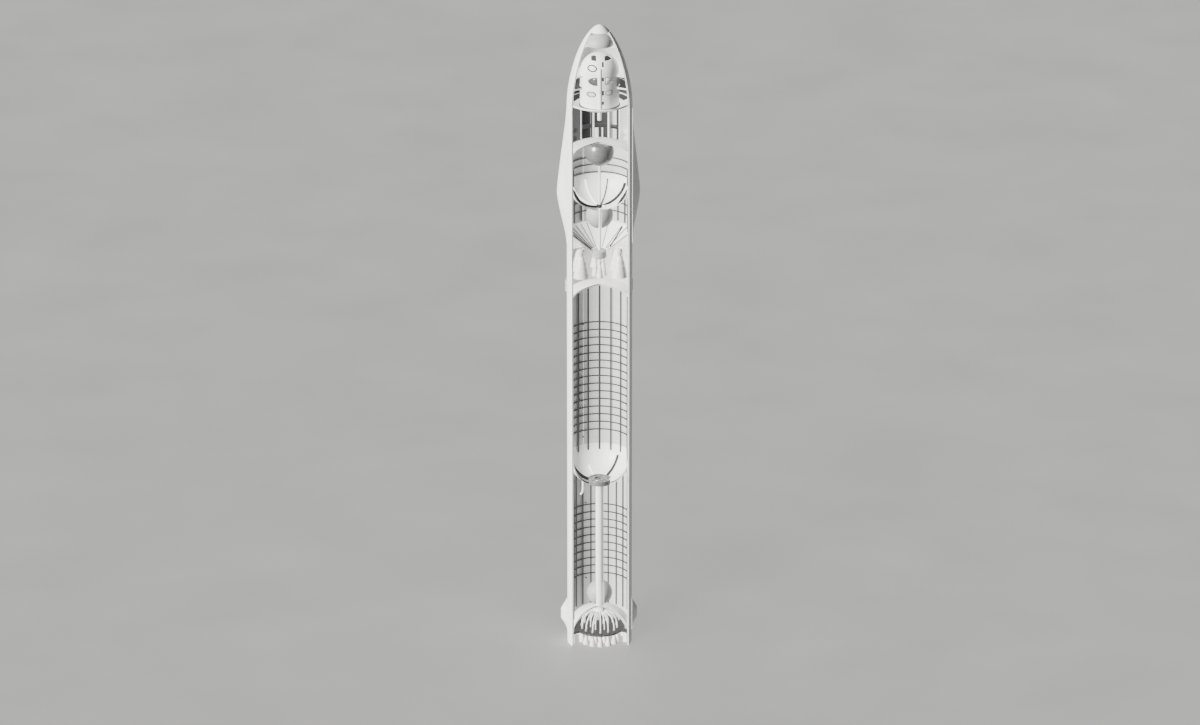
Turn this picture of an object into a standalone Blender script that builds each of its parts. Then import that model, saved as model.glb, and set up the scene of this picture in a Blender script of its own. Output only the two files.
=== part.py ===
"""A cutaway two-stage space rocket, as a 1:10 scale model.

Metres, +Z up. The origin is the centre of the hull's lower rim, where the launch stand holds it.
The front third of the hull, the domes and the tank walls is cut away, and that opening faces -Y.
Angles are in degrees, counterclockwise from +X, seen from above.
"""
import math

import bmesh
import bpy
from mathutils import Matrix, Vector

# The body and its cutaway
BODY_R = 0.600
SKIN = 0.028
INNER_R = BODY_R - SKIN
GAP = 0.0003
FIT_R = INNER_R - 0.0004
CUT_START = -29.0
CUT_SWEEP = 238.0
HULL_STEPS = 28
HALF_STEP = math.radians(CUT_SWEEP / HULL_STEPS / 2)
DOME_ARCS = 5

# Heights of the stages and of the nose
FIELD_JOINT_Z = 6.90
STAGE_Z = 7.74
NOSE_Z = 10.50
NOSE_LENGTH = 1.52
NOSE_POWER = 1.7
NOSE_ROUND = 0.6
NOSE_TAPER = 0.008
CAP_Z = 11.89
NOSE_HEIGHTS = [NOSE_Z + (CAP_Z - NOSE_Z) * (i / 8) ** 0.8 for i in range(9)]

# Fairings, at 120 degrees on each side of the cutaway
FAIRING_ANGLES = {"right": 30.0, "left": 150.0}
FAIRING_HALF = 37.5
FAIRING_STEPS = 10
FAIRING_EDGE = 0.004
LEG_POD_LOW, LEG_POD_WIDEST, LEG_POD_HIGH = 7.85, 8.745, 10.43
LEG_POD_RISE = 0.246
BASE_POD_LOW, BASE_POD_FULL_LOW, BASE_POD_FULL_HIGH, BASE_POD_HIGH = 0.22, 0.40, 0.58, 0.82
BASE_POD_RISE = 0.134
BASE_POD_FLAT = 0.35

# Grid fins, folded down along the hull
FIN_HINGE_R = 0.634
FIN_HINGE_Z = 7.09
FIN_WIDTH, FIN_HEIGHT, FIN_DEPTH = 0.300, 0.220, 0.028
FIN_TOP = -0.020
FIN_BAR = 0.008
FIN_CELLS = (4, 3)
FIN_ROOT_HALF = 0.0795
FIN_ROOT_R = 0.014
PIN_R, PIN_HOLE_R = 0.008, 0.0100
LUG_NEAR, LUG_THICK, LUG_R = 0.0805, 0.0180, 0.0145

# Domes and tanks of the booster
DOME_WALL = 0.030
TOP_DOME_Z, TOP_DOME_RISE = 6.860, 0.164
MID_DOME_Z, MID_DOME_DROP, MID_DOME_WALL, MID_DOME_HOLE_R = 3.720, 0.560, 0.050, 0.2203
THRUST_DOME_Z, THRUST_DOME_RISE = 0.2605, 0.410
STRINGER_DEPTH, RING_HEIGHT = 0.0256, 0.030
UPPER_BARS = {"first": -26.0, "pitch": 22.5, "count": 11}
UPPER_RINGS = {"first": 4.002, "pitch": 0.151, "count": 15}
LOWER_BARS = {"first": -16.36, "pitch": 17.143, "count": 14}
LOWER_RINGS = {"first": 1.136, "pitch": 0.1533, "count": 10}
SUMP_R, SUMP_LOW, SUMP_HIGH = 0.2190, 3.135, 3.235
SUMP_VANES = ((-25.0, 0.430), (45.0, 0.540), (115.0, 0.430), (185.0, 0.540))
SUMP_VANE_THICK = 0.020
TUBE_R = 0.073
LOWER_BALL_R, LOWER_BALL_Z = 0.236, 0.960
BALL_STEPS = 20
VENT_R, VENT_OUT, VENT_ANGLE = 0.024, 0.400, 136.5

# Engines of the booster
PLATE_LOW, PLATE_HIGH, PLATE_FRONT_R = 0.230, 0.260, 0.440
MIDDLE_ENGINES, MIDDLE_RING_R = 14, 0.335
OUTER_RING_R, OUTER_PITCH, OUTER_KEPT_EACH_SIDE = 0.500, 17.143, 6
INNER_ENGINES, INNER_RING_R = 6, 0.165
NOZZLE_END_Z = 0.008
NOZZLE_EXIT_R, NOZZLE_TOP_R, NOZZLE_LIP = 0.062, 0.030, 0.004
GIMBAL_R, GIMBAL_CLEAR = 0.018, 0.0005
FEED_HUB_R, FEED_HUB_Z, FEED_PIPE_R = 0.100, 0.595, 0.014

# Domes and tanks of the ship
OXYGEN_DOME_Z, OXYGEN_DOME_RISE = 9.600, 0.163
COMMON_DOME_Z, COMMON_DOME_DROP, COMMON_DOME_WALL = 9.000, 0.475, 0.020
OXYGEN_BALL_R, OXYGEN_BALL_Z = 0.265, 9.598
OXYGEN_PIPE_R = 0.022
OXYGEN_RINGS_Z = (9.031, 9.178, 9.318)
FUEL_BALL_R, FUEL_BALL_Z = 0.248, 8.384
FUEL_PIPE_R = 0.028
FUEL_BARS = {"first": -26.0, "pitch": 18.75, "count": 13}
FUEL_RINGS_Z = (8.301, 8.480)
VANES = {"first": -19.5, "pitch": 45.0, "count": 6}
VANE_HEIGHT, VANE_THICK, VANE_OUT_R = 0.055, 0.012, 0.560

# Engines of the ship
CONE_RIM_Z, CONE_HUB_Z, CONE_WALL = 8.085, 7.690, 0.022
HUB_R, HUB_LOW, HUB_HIGH = 0.130, 7.560, 7.710
SHIP_GIMBAL_R, SHIP_ENGINE_RING_R, SHIP_ENGINE_EXIT_Z, SHIP_ENGINE_LEAN = 0.020, 0.075, 7.200, 3.0
VACUUM_RING_R, VACUUM_EXIT_Z, VACUUM_EXIT_R, VACUUM_TOP_R = 0.405, 7.250, 0.145, 0.060
VACUUM_RING_LOW, VACUUM_RING_HIGH, VACUUM_RING_IN_R = 7.800, 7.830, 0.345
VACUUM_ENGINES = {"first": -30.0, "pitch": 60.0, "count": 5}

# Cargo bay and cabin
FLOOR_LOW, FLOOR_RIM_LOW, FLOOR_WALL, FLOOR_FLAT_R, FLOOR_R = 10.455, 10.545, 0.035, 0.350, 0.5645
BAY_TUBE_R, BAY_TUBE_LOW = 0.039, 10.200
CABIN_R, CABIN_WALL, CABIN_LOW, CABIN_SPRING_Z, CABIN_RISE = 0.355, 0.012, 10.493, 11.130, 0.364
RISER_R, RISER_X, RISER_HIGH = 0.038, -0.017, 11.300
RIB_IN_R, RIB_THICK, RIB_FLANGE = 0.400, 0.020, 0.032
RIBS = {"first": 22.5, "pitch": 40.0, "count": 4}
BAY_RING_LOW, BAY_RING_HIGH, BAY_RING_IN_R = 9.905, 9.955, 0.480
RING_DECKS = {"upper_ring_deck": 11.075, "lower_ring_deck": 10.845}
RING_DECK_THICK = 0.030
NOSE_DECK_Z, NOSE_DECK_THICK, NOSE_DECK_IN_R = 11.620, 0.018, 0.200
NOSE_DOME_R, NOSE_DOME_RISE = 0.250, 0.203
WINDOWS = (
    ((-0.163, -0.45, 11.394), (-0.071, -0.10, 11.465)),
    ((0.078, -0.45, 11.391), (0.207, -0.10, 11.456)),
    ((-0.229, -0.45, 10.959), (-0.058, -0.05, 11.120)),
    ((0.078, -0.45, 10.979), (0.225, -0.05, 11.120)),
    ((0.023, -0.45, 11.300), (0.060, -0.05, 11.385)),
    ((0.023, -0.45, 11.042), (0.060, -0.05, 11.120)),
    ((0.023, -0.45, 10.775), (0.060, -0.05, 10.872)),
    ((0.023, -0.45, 10.600), (0.060, -0.05, 10.668)))

for item in list(bpy.data.objects):
    bpy.data.objects.remove(item)


def material(name, colour, roughness, metallic=0.0):
    """A plain Principled finish"""
    made = bpy.data.materials.new(name)
    made.use_nodes = True
    shader = made.node_tree.nodes["Principled BSDF"]
    shader.inputs["Base Color"].default_value = (*colour, 1.0)
    shader.inputs["Roughness"].default_value = roughness
    shader.inputs["Metallic"].default_value = metallic
    return made


WHITE = material("white_enamel", (0.83, 0.83, 0.82), 0.45)
PALE = material("pale_grey_primer", (0.62, 0.62, 0.61), 0.55)
GREY = material("grey_enamel", (0.36, 0.36, 0.36), 0.40)
BELL = material("bell_enamel", (0.70, 0.70, 0.69), 0.35)


def empty(name, location=(0.0, 0.0, 0.0)):
    """The parent of one body's pieces"""
    made = bpy.data.objects.new(name, None)
    made.location = location
    bpy.context.collection.objects.link(made)
    return made


BOOSTER = empty("booster_body")
SHIP = empty("ship_body", (0.0, 0.0, STAGE_Z))


def add(name, shape, finish, parent, place=None):
    """Makes a named object of a bmesh, shaded smooth between its creases"""
    mesh = bpy.data.meshes.new(name)
    shape.to_mesh(mesh)
    shape.free()
    mesh.materials.append(finish)
    mesh.shade_smooth()
    mesh.set_sharp_from_angle(angle=math.radians(32.0))
    made = bpy.data.objects.new(name, mesh)
    bpy.context.collection.objects.link(made)
    if place is not None:
        made.matrix_basis = place
    if parent is not None:
        made.parent = parent
        made.matrix_parent_inverse = Matrix.Translation(-parent.location)
    return made


def boolean(target, name, shape, operation, place=None):
    """Cuts a piece with a hidden shape, or joins the shape on"""
    other = add(name, shape, WHITE, None, place)
    other.hide_render = True
    other.display_type = 'WIRE'
    step = target.modifiers.new(name, 'BOOLEAN')
    step.object = other
    step.operation = operation


def polar(radius, angle, height=0.0):
    """The point at a radius and an angle about the axis"""
    turn = math.radians(angle)
    return Vector((radius * math.cos(turn), radius * math.sin(turn), height))


def evenly(first, pitch, count):
    """Evenly spaced values"""
    return [first + pitch * i for i in range(count)]


def finished(shape):
    """Closes a shape's poles and points its faces outwards"""
    bmesh.ops.remove_doubles(shape, verts=shape.verts, dist=1e-6)
    bmesh.ops.recalc_face_normals(shape, faces=shape.faces)
    return shape


def turned(outline, steps=HULL_STEPS, start=CUT_START, sweep=CUT_SWEEP):
    """Turns a closed outline of (radius, height) points about the axis, with flat ends on a part turn"""
    shape = bmesh.new()
    full = sweep >= 360.0
    rows = []
    for i in range(steps if full else steps + 1):
        angle = start + sweep * i / steps
        rows.append([shape.verts.new(polar(r, angle, z)) for r, z in outline])
    for i in range(steps):
        near, far = rows[i], rows[(i + 1) % len(rows)]
        for j in range(len(outline)):
            k = (j + 1) % len(outline)
            if outline[j][0] > 0.0 or outline[k][0] > 0.0:
                shape.faces.new((near[j], far[j], far[k], near[k]))
    if not full:
        shape.faces.new(rows[0])
        shape.faces.new(list(reversed(rows[-1])))
    return finished(shape)


def round_solid(outline, steps):
    """A full turn of an outline"""
    return turned(outline, steps, 0.0, 360.0)


def cell_solid(cells, outer, inner):
    """A grid of (column, row) cells, given thickness between two skins of points"""
    shape = bmesh.new()
    skins = ({}, {})

    def vert(side, i, j):
        if (i, j) not in skins[side]:
            skins[side][(i, j)] = shape.verts.new((outer, inner)[side](i, j))
        return skins[side][(i, j)]

    edges = (((0, 0), (1, 0), (0, -1)), ((1, 0), (1, 1), (1, 0)),
             ((1, 1), (0, 1), (0, 1)), ((0, 1), (0, 0), (-1, 0)))
    for i, j in sorted(cells):
        corners = ((i, j), (i + 1, j), (i + 1, j + 1), (i, j + 1))
        shape.faces.new([vert(0, *c) for c in corners])
        shape.faces.new([vert(1, *c) for c in reversed(corners)])
        for (ai, aj), (bi, bj), (di, dj) in edges:
            if (i + di, j + dj) not in cells:
                a, b = (i + ai, j + aj), (i + bi, j + bj)
                shape.faces.new((vert(0, *b), vert(0, *a), vert(1, *a), vert(1, *b)))
    return finished(shape)


def wall_radius(angle):
    """The radius that just clears the hull's faceted inner wall at an angle"""
    pitch = CUT_SWEEP / HULL_STEPS
    off_middle = (angle - CUT_START) % pitch - pitch / 2
    return FIT_R * math.cos(HALF_STEP) / math.cos(math.radians(off_middle))


def wall_lattice(bars, rings, low, high, bar_width, inner_low=None, segments=1):
    """Upright bars and ring frames against the hull's inner wall, as one grid"""
    half = math.degrees(bar_width / 2 / FIT_R)
    columns, bar_columns = [], set()
    for angle in bars:
        if columns:
            last = columns[-1]
            columns += [last + (angle - half - last) * n / segments for n in range(1, segments)]
        columns.append(angle - half)
        bar_columns.add(len(columns) - 1)
        columns.append(angle + half)
    rows, ring_rows = [low], set()
    for height in rings:
        rows.append(height - RING_HEIGHT / 2)
        ring_rows.add(len(rows) - 1)
        rows.append(height + RING_HEIGHT / 2)
    rows.append(high)
    inner_rows = [low if inner_low is None else inner_low] + rows[1:]
    cells = {(i, j) for i in range(len(columns) - 1) for j in range(len(rows) - 1)
             if i in bar_columns or j in ring_rows}
    return cell_solid(cells, lambda i, j: polar(wall_radius(columns[i]), columns[i], rows[j]),
                      lambda i, j: polar(wall_radius(columns[i]) - STRINGER_DEPTH, columns[i], inner_rows[j]))


def box(low, high):
    """A box between two corners"""
    shape = bmesh.new()
    bmesh.ops.create_cube(shape, size=1.0)
    size = Vector(high) - Vector(low)
    middle = (Vector(high) + Vector(low)) / 2
    bmesh.ops.transform(shape, matrix=Matrix.Translation(middle) @ Matrix.Diagonal((*size, 1.0)),
                        verts=shape.verts)
    return shape


def rod(radius, half_length, steps):
    """A round bar along X about the origin"""
    shape = bmesh.new()
    bmesh.ops.create_cone(shape, cap_ends=True, segments=steps, radius1=radius, radius2=radius,
                          depth=2 * half_length, matrix=Matrix.Rotation(math.pi / 2, 4, 'Y'))
    return shape


def prism(ends):
    """A solid between two outlines with the same number of points"""
    shape = bmesh.new()
    near, far = ([shape.verts.new(point) for point in end] for end in ends)
    shape.faces.new(near)
    shape.faces.new(list(reversed(far)))
    for j in range(len(near)):
        k = (j + 1) % len(near)
        shape.faces.new((near[k], near[j], far[j], far[k]))
    return finished(shape)


def plate(section, angle, thick):
    """An upright radial plate of a (radius, height) section"""
    across = polar(thick / 2, angle + 90.0)
    return prism([[polar(r, angle, z) + across * side for r, z in section] for side in (-1, 1)])


def pipe(route, radius, sides, level_end=False):
    """A round pipe along a route of points"""
    shape = bmesh.new()
    rings = []
    for i, point in enumerate(route):
        run = (route[min(i + 1, len(route) - 1)] - route[max(i - 1, 0)]).normalized()
        if level_end and i == len(route) - 1:
            run = Vector((0.0, 0.0, -1.0))
        side = run.cross(Vector((point.x, point.y, 0.0)).cross(Vector((0.0, 0.0, 1.0)))).normalized()
        lift = run.cross(side)
        turns = [2 * math.pi * k / sides for k in range(sides)]
        rings.append([shape.verts.new(point + radius * (side * math.cos(t) + lift * math.sin(t)))
                      for t in turns])
    for near, far in zip(rings, rings[1:]):
        for k in range(sides):
            n = (k + 1) % sides
            shape.faces.new((near[k], near[n], far[n], far[k]))
    shape.faces.new(rings[0])
    shape.faces.new(list(reversed(rings[-1])))
    return finished(shape)


def merged(shapes):
    """Several shapes in one mesh"""
    whole = bmesh.new()
    for shape in shapes:
        mesh = bpy.data.meshes.new("shape")
        shape.to_mesh(mesh)
        shape.free()
        whole.from_mesh(mesh)
        bpy.data.meshes.remove(mesh)
    return whole


def placed(shape, matrix):
    """The shape, moved by a matrix"""
    bmesh.ops.transform(shape, matrix=matrix, verts=shape.verts)
    return shape


def arc(radius, rise, base_z, arcs=DOME_ARCS):
    """Points of a dome's section, from its rim to the axis"""
    turns = [math.pi / 2 * i / arcs for i in range(arcs)]
    return [(radius * math.cos(t), base_z + rise * math.sin(t)) for t in turns] + [(0.0, base_z + rise)]


def shifted(points, rise):
    """The points, moved up"""
    return [(r, z + rise) for r, z in points]


def height_at(points, radius):
    """The height of a dome's section at a radius"""
    for (r0, z0), (r1, z1) in zip(points, points[1:]):
        if r1 <= radius <= r0:
            return z0 + (z1 - z0) * (r0 - radius) / (r0 - r1)
    return points[0][1]


def between(points, inner, outer):
    """The part of a section between two radii, from outer to inner"""
    kept = [point for point in points if inner < point[0] < outer]
    return [(outer, height_at(points, outer))] + kept + [(inner, height_at(points, inner))]


def dome(name, points, wall, finish, parent, hole=0.0):
    """A dome against the hull, its wall set above or below the given section"""
    near = between(points, hole, points[0][0])
    add(name, turned(near + list(reversed(shifted(near, wall)))), finish, parent)


def nose_radius(height):
    """The nose's outer radius at a height"""
    share = (height - NOSE_Z) / NOSE_LENGTH
    return BODY_R * max(0.0, 1.0 - share ** NOSE_POWER) ** NOSE_ROUND


def nose_inner_radius(height):
    """The faceted nose's inner radius at a height"""
    for low, high in zip(NOSE_HEIGHTS, NOSE_HEIGHTS[1:]):
        if low <= height <= high:
            share = (height - low) / (high - low)
            wall = SKIN - NOSE_TAPER * (height - NOSE_Z) / NOSE_LENGTH
            return nose_radius(low) * (1.0 - share) + nose_radius(high) * share - wall


def hull_shell(name, low, high, parent):
    """A straight length of hull, open at the cutaway"""
    add(name, turned([(BODY_R, low), (BODY_R, high), (INNER_R, high), (INNER_R, low)]), WHITE, parent)


def fairing(name, angle, heights, rise, swell, parent):
    """A blended pod on the hull, highest along its middle and thin at its edges"""
    seat = (BODY_R + GAP + 0.0001) / math.cos(math.radians(FAIRING_HALF / FAIRING_STEPS))

    def at(i, j, lift):
        share = 2.0 * i / FAIRING_STEPS - 1.0
        out = FAIRING_EDGE + rise(heights[j]) * swell(abs(share))
        return polar(seat + lift * out, angle + share * FAIRING_HALF, heights[j])

    cells = {(i, j) for i in range(FAIRING_STEPS) for j in range(len(heights) - 1)}
    shape = cell_solid(cells, lambda i, j: at(i, j, 1.0), lambda i, j: at(i, j, 0.0))
    add(name, shape, WHITE, parent)


def leg_pod_rise(height):
    """How far a leg pod stands out at a height"""
    if height >= LEG_POD_WIDEST:
        share = (LEG_POD_HIGH - height) / (LEG_POD_HIGH - LEG_POD_WIDEST)
        return LEG_POD_RISE * (1.0 - (1.0 - share) ** 1.2)
    share = (LEG_POD_WIDEST - height) / (LEG_POD_WIDEST - LEG_POD_LOW)
    return LEG_POD_RISE * (1.0 - share ** 1.4)


def leg_pod_swell(share):
    """A leg pod's rise across its width, from its middle to its edge"""
    return math.cos(share * math.pi / 2) ** 2


def base_pod_rise(height):
    """How far a base pod stands out at a height"""
    if height > BASE_POD_FULL_HIGH:
        share = (BASE_POD_HIGH - height) / (BASE_POD_HIGH - BASE_POD_FULL_HIGH)
    else:
        share = (height - BASE_POD_LOW) / (BASE_POD_FULL_LOW - BASE_POD_LOW)
    return BASE_POD_RISE * min(1.0, share)


def base_pod_swell(share):
    """A base pod's rise across its width: flat in the middle, with steep sides"""
    down = max(0.0, share - BASE_POD_FLAT) / (1.0 - BASE_POD_FLAT)
    return math.cos(down * math.pi / 2) ** 2


def make_hull():
    """The hull's lengths, the nose and the fairings"""
    hull_shell("booster_hull", 0.0, FIELD_JOINT_Z, BOOSTER)
    hull_shell("interstage", FIELD_JOINT_Z + GAP, STAGE_Z, BOOSTER)
    hull_shell("ship_hull", STAGE_Z + GAP, NOSE_Z - GAP, SHIP)
    outer = [(nose_radius(z), z) for z in NOSE_HEIGHTS]
    inner = [(nose_inner_radius(z), z) for z in NOSE_HEIGHTS]
    add("nose_shell", turned(outer + list(reversed(inner))), WHITE, SHIP)
    cap = [(nose_radius(z), z) for z in (CAP_Z + GAP, 11.930, 11.970, 12.000)]
    cap += [(0.0, NOSE_Z + NOSE_LENGTH), (0.0, CAP_Z + GAP)]
    add("nose_cap", round_solid(cap, 24), WHITE, SHIP)
    leg_heights = [LEG_POD_LOW, 8.00, 8.22, 8.48, LEG_POD_WIDEST, 9.05, 9.50, 9.95, LEG_POD_HIGH]
    base_heights = [BASE_POD_LOW, BASE_POD_FULL_LOW, BASE_POD_FULL_HIGH, BASE_POD_HIGH]
    for side, angle in FAIRING_ANGLES.items():
        fairing("leg_pod_" + side, angle, leg_heights, leg_pod_rise, leg_pod_swell, SHIP)
        fairing("base_pod_" + side, angle, base_heights, base_pod_rise, base_pod_swell, BOOSTER)


def fin_shape():
    """A grid fin about its hinge: X along the hinge, Y out from the hull, hanging down"""
    across, down = FIN_CELLS
    columns, bar_columns = [], set()
    for i in range(across + 1):
        middle = -FIN_WIDTH / 2 + FIN_BAR / 2 + (FIN_WIDTH - FIN_BAR) * i / across
        bar_columns.add(len(columns))
        columns += [middle - FIN_BAR / 2, middle + FIN_BAR / 2]
    rows, bar_rows = [], set()
    for j in range(down + 1):
        middle = FIN_TOP - FIN_HEIGHT + FIN_BAR / 2 + (FIN_HEIGHT - FIN_BAR) * j / down
        bar_rows.add(len(rows))
        rows += [middle - FIN_BAR / 2, middle + FIN_BAR / 2]
    cells = {(i, j) for i in range(len(columns) - 1) for j in range(len(rows) - 1)
             if i in bar_columns or j in bar_rows}
    near = BODY_R + 0.007 - FIN_HINGE_R
    return cell_solid(cells, lambda i, j: Vector((columns[i], near + FIN_DEPTH, rows[j])),
                      lambda i, j: Vector((columns[i], near, rows[j])))


def lug(start):
    """A lug about the hinge, round below and above it"""
    turns = [math.radians(-90.0 + 180.0 * i / 8) for i in range(9)]
    section = [(-0.034, -LUG_R)] + [(LUG_R * math.cos(t), LUG_R * math.sin(t)) for t in turns]
    section.append((-0.034, LUG_R))
    return prism([[Vector((x, y, z)) for y, z in section] for x in (start, start + LUG_THICK)])


def make_grid_fins():
    """Two grid fins, each on a bracket with two lugs"""
    for side, angle in FAIRING_ANGLES.items():
        hinge = polar(FIN_HINGE_R, angle, FIN_HINGE_Z)
        place = Matrix.Translation(hinge) @ Matrix.Rotation(math.radians(angle - 90.0), 4, 'Z')
        fin = add("grid_fin_" + side, fin_shape(), PALE, BOOSTER, place)
        arms = merged([box((x - 0.012, -0.008, -0.026), (x + 0.012, 0.004, -0.004)) for x in (-0.05, 0.05)])
        boolean(fin, "fin_root_tool_" + side, rod(FIN_ROOT_R, FIN_ROOT_HALF, 10), 'UNION', place)
        boolean(fin, "fin_arm_tool_" + side, arms, 'UNION', place)
        boolean(fin, "fin_pin_tool_" + side, rod(PIN_R, FIN_ROOT_HALF + 0.020, 8), 'UNION', place)
        half = math.degrees(0.105 / BODY_R)
        seat = (BODY_R + GAP + 0.0002) / math.cos(math.radians(half / 6))
        low, high = FIN_HINGE_Z - LUG_R, FIN_HINGE_Z + 0.030
        pad = turned([(seat, low), (0.613, low), (0.613, high), (seat, high)], 6, angle - half, 2 * half)
        bracket = add("fin_bracket_" + side, pad, PALE, BOOSTER)
        lugs = merged([lug(-LUG_NEAR - LUG_THICK), lug(LUG_NEAR)])
        boolean(bracket, "lug_tool_" + side, lugs, 'UNION', place)
        boolean(bracket, "lug_hole_tool_" + side, rod(PIN_HOLE_R, 0.12, 8), 'DIFFERENCE', place)


def header_tank(radius, middle_z, bore=0.0, roof=None, arcs=8):
    """A ball's section about a bore, its top cut to follow the underside of a dome"""
    def on_ball(turn):
        return (radius * math.cos(turn), middle_z + radius * math.sin(turn))

    points = [on_ball(-math.pi / 2 + math.pi * i / arcs) for i in range(arcs + 1)]
    reach = math.sqrt(radius ** 2 - bore ** 2)
    section = [(bore, middle_z - reach)]
    if roof is None:
        return section + [p for p in points if p[0] > bore + 0.001] + [(bore, middle_z + reach)]
    low, high = 0.0, math.pi / 2
    for _ in range(40):
        turn = (low + high) / 2
        point = on_ball(turn)
        if point[1] < height_at(roof, point[0]):
            low = turn
        else:
            high = turn
    section += [p for p in points if p[0] > bore + 0.001 and p[1] < point[1] - 0.002]
    return section + [point] + [p for p in roof if bore < p[0] < point[0]] + [(bore, height_at(roof, bore))]


def vane(bowl, rim_z, inner, outer):
    """An upright plate's section that follows a bowl"""
    near = math.cos(HALF_STEP) * 0.9985
    far = near - VANE_HEIGHT / FIT_R
    edge = between(bowl, inner, outer)
    low = [(r * near, rim_z + (z - rim_z) * near) for r, z in edge]
    high = [(r * far, rim_z + (z - rim_z) * far) for r, z in edge]
    return low + list(reversed(high))


def vane_set(bowl, rim_z, inner, vanes, thick):
    """The vanes of one bowl, each with its own angle and outer radius"""
    return merged([plate(vane(bowl, rim_z, inner, outer), angle, thick) for angle, outer in vanes])


def split_ball(name, radius, middle_z, pipe_r, roof, parent):
    """A header tank round a pipe, with a straight slot at the front that shows the pipe"""
    bore = pipe_r + GAP
    ball = add(name, round_solid(header_tank(radius, middle_z, bore, roof), BALL_STEPS), PALE, parent)
    half, reach = bore - 0.0002, radius + 0.010
    slot = box((-half, -reach, middle_z - reach), (half, -0.001, middle_z + reach))
    boolean(ball, name + "_slot_tool", slot, 'DIFFERENCE')


def make_booster_tanks():
    """The booster's domes, stringers, sump, transfer tube and header tank"""
    top = arc(FIT_R, TOP_DOME_RISE, TOP_DOME_Z)
    bowl = arc(FIT_R, -MID_DOME_DROP, MID_DOME_Z)
    thrust = arc(FIT_R, THRUST_DOME_RISE, THRUST_DOME_Z)
    dome("booster_top_dome", top, DOME_WALL, WHITE, BOOSTER)
    dome("mid_dome", bowl, -MID_DOME_WALL, WHITE, BOOSTER, MID_DOME_HOLE_R)
    dome("thrust_dome", thrust, DOME_WALL, WHITE, BOOSTER)

    inner_low = height_at(bowl, FIT_R - STRINGER_DEPTH) + 0.012
    shape = wall_lattice(evenly(**UPPER_BARS), evenly(**UPPER_RINGS), MID_DOME_Z + 2 * GAP, 6.848, 0.036,
                         inner_low)
    add("upper_tank_stringers", shape, GREY, BOOSTER)
    shape = wall_lattice(evenly(**LOWER_BARS), evenly(**LOWER_RINGS), 0.520, 3.450, 0.030)
    add("lower_tank_stringers", shape, GREY, BOOSTER)

    drum = [(0.0, SUMP_LOW), (SUMP_R, SUMP_LOW), (SUMP_R, SUMP_HIGH), (0.0, SUMP_HIGH)]
    sump = add("sump_drum", round_solid(drum, 24), GREY, BOOSTER)
    shape = vane_set(bowl, MID_DOME_Z, 0.2155, SUMP_VANES, SUMP_VANE_THICK)
    boolean(sump, "sump_vane_tool", shape, 'UNION')
    low = THRUST_DOME_Z + THRUST_DOME_RISE + DOME_WALL + GAP
    high = SUMP_LOW - GAP
    tube = [(0.0, low), (TUBE_R, low), (TUBE_R, high), (0.0, high)]
    add("transfer_tube", round_solid(tube, BALL_STEPS), WHITE, BOOSTER)
    split_ball("lower_header_tank", LOWER_BALL_R, LOWER_BALL_Z, TUBE_R, None, BOOSTER)
    high = height_at(bowl, VENT_OUT - VENT_R) - MID_DOME_WALL - GAP
    bends = ((VENT_OUT, high), (VENT_OUT, 2.940), (0.412, 2.860), (0.455, 2.800))
    route = [polar(r, VENT_ANGLE, z) for r, z in bends]
    add("vent_pipe", pipe(route, VENT_R, 10), WHITE, BOOSTER)


def nozzle(top_r, exit_r, length, steps, collar):
    """A bell about its top centre, hanging down, hollow from its lip"""
    section = [(0.0, collar), (top_r, collar), (top_r, -0.12 * length),
               (top_r + (exit_r - top_r) * 0.62, -0.55 * length), (exit_r, -length),
               (exit_r - NOZZLE_LIP, -length), (0.0, -0.35 * length)]
    return round_solid(section, steps)


def gimballed_engine(name, pivot, ball_r, exit_z, body, lean=None):
    """An engine on a ball joint, with its origin on the joint"""
    length = pivot.z - exit_z
    turn = Matrix.Identity(4) if lean is None else lean
    section = [(0.0, ball_r), (ball_r * 0.7, ball_r * 0.7), (ball_r, 0.0), (ball_r * 0.7, -ball_r * 0.75),
               (NOZZLE_TOP_R, -0.040), (NOZZLE_TOP_R + (NOZZLE_EXIT_R - NOZZLE_TOP_R) * 0.60, -0.55 * length),
               (NOZZLE_EXIT_R, -length), (NOZZLE_EXIT_R - NOZZLE_LIP, -length), (0.0, -0.45 * length)]
    add(name, round_solid(section, 10), BELL, body, Matrix.Translation(pivot) @ turn)


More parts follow.
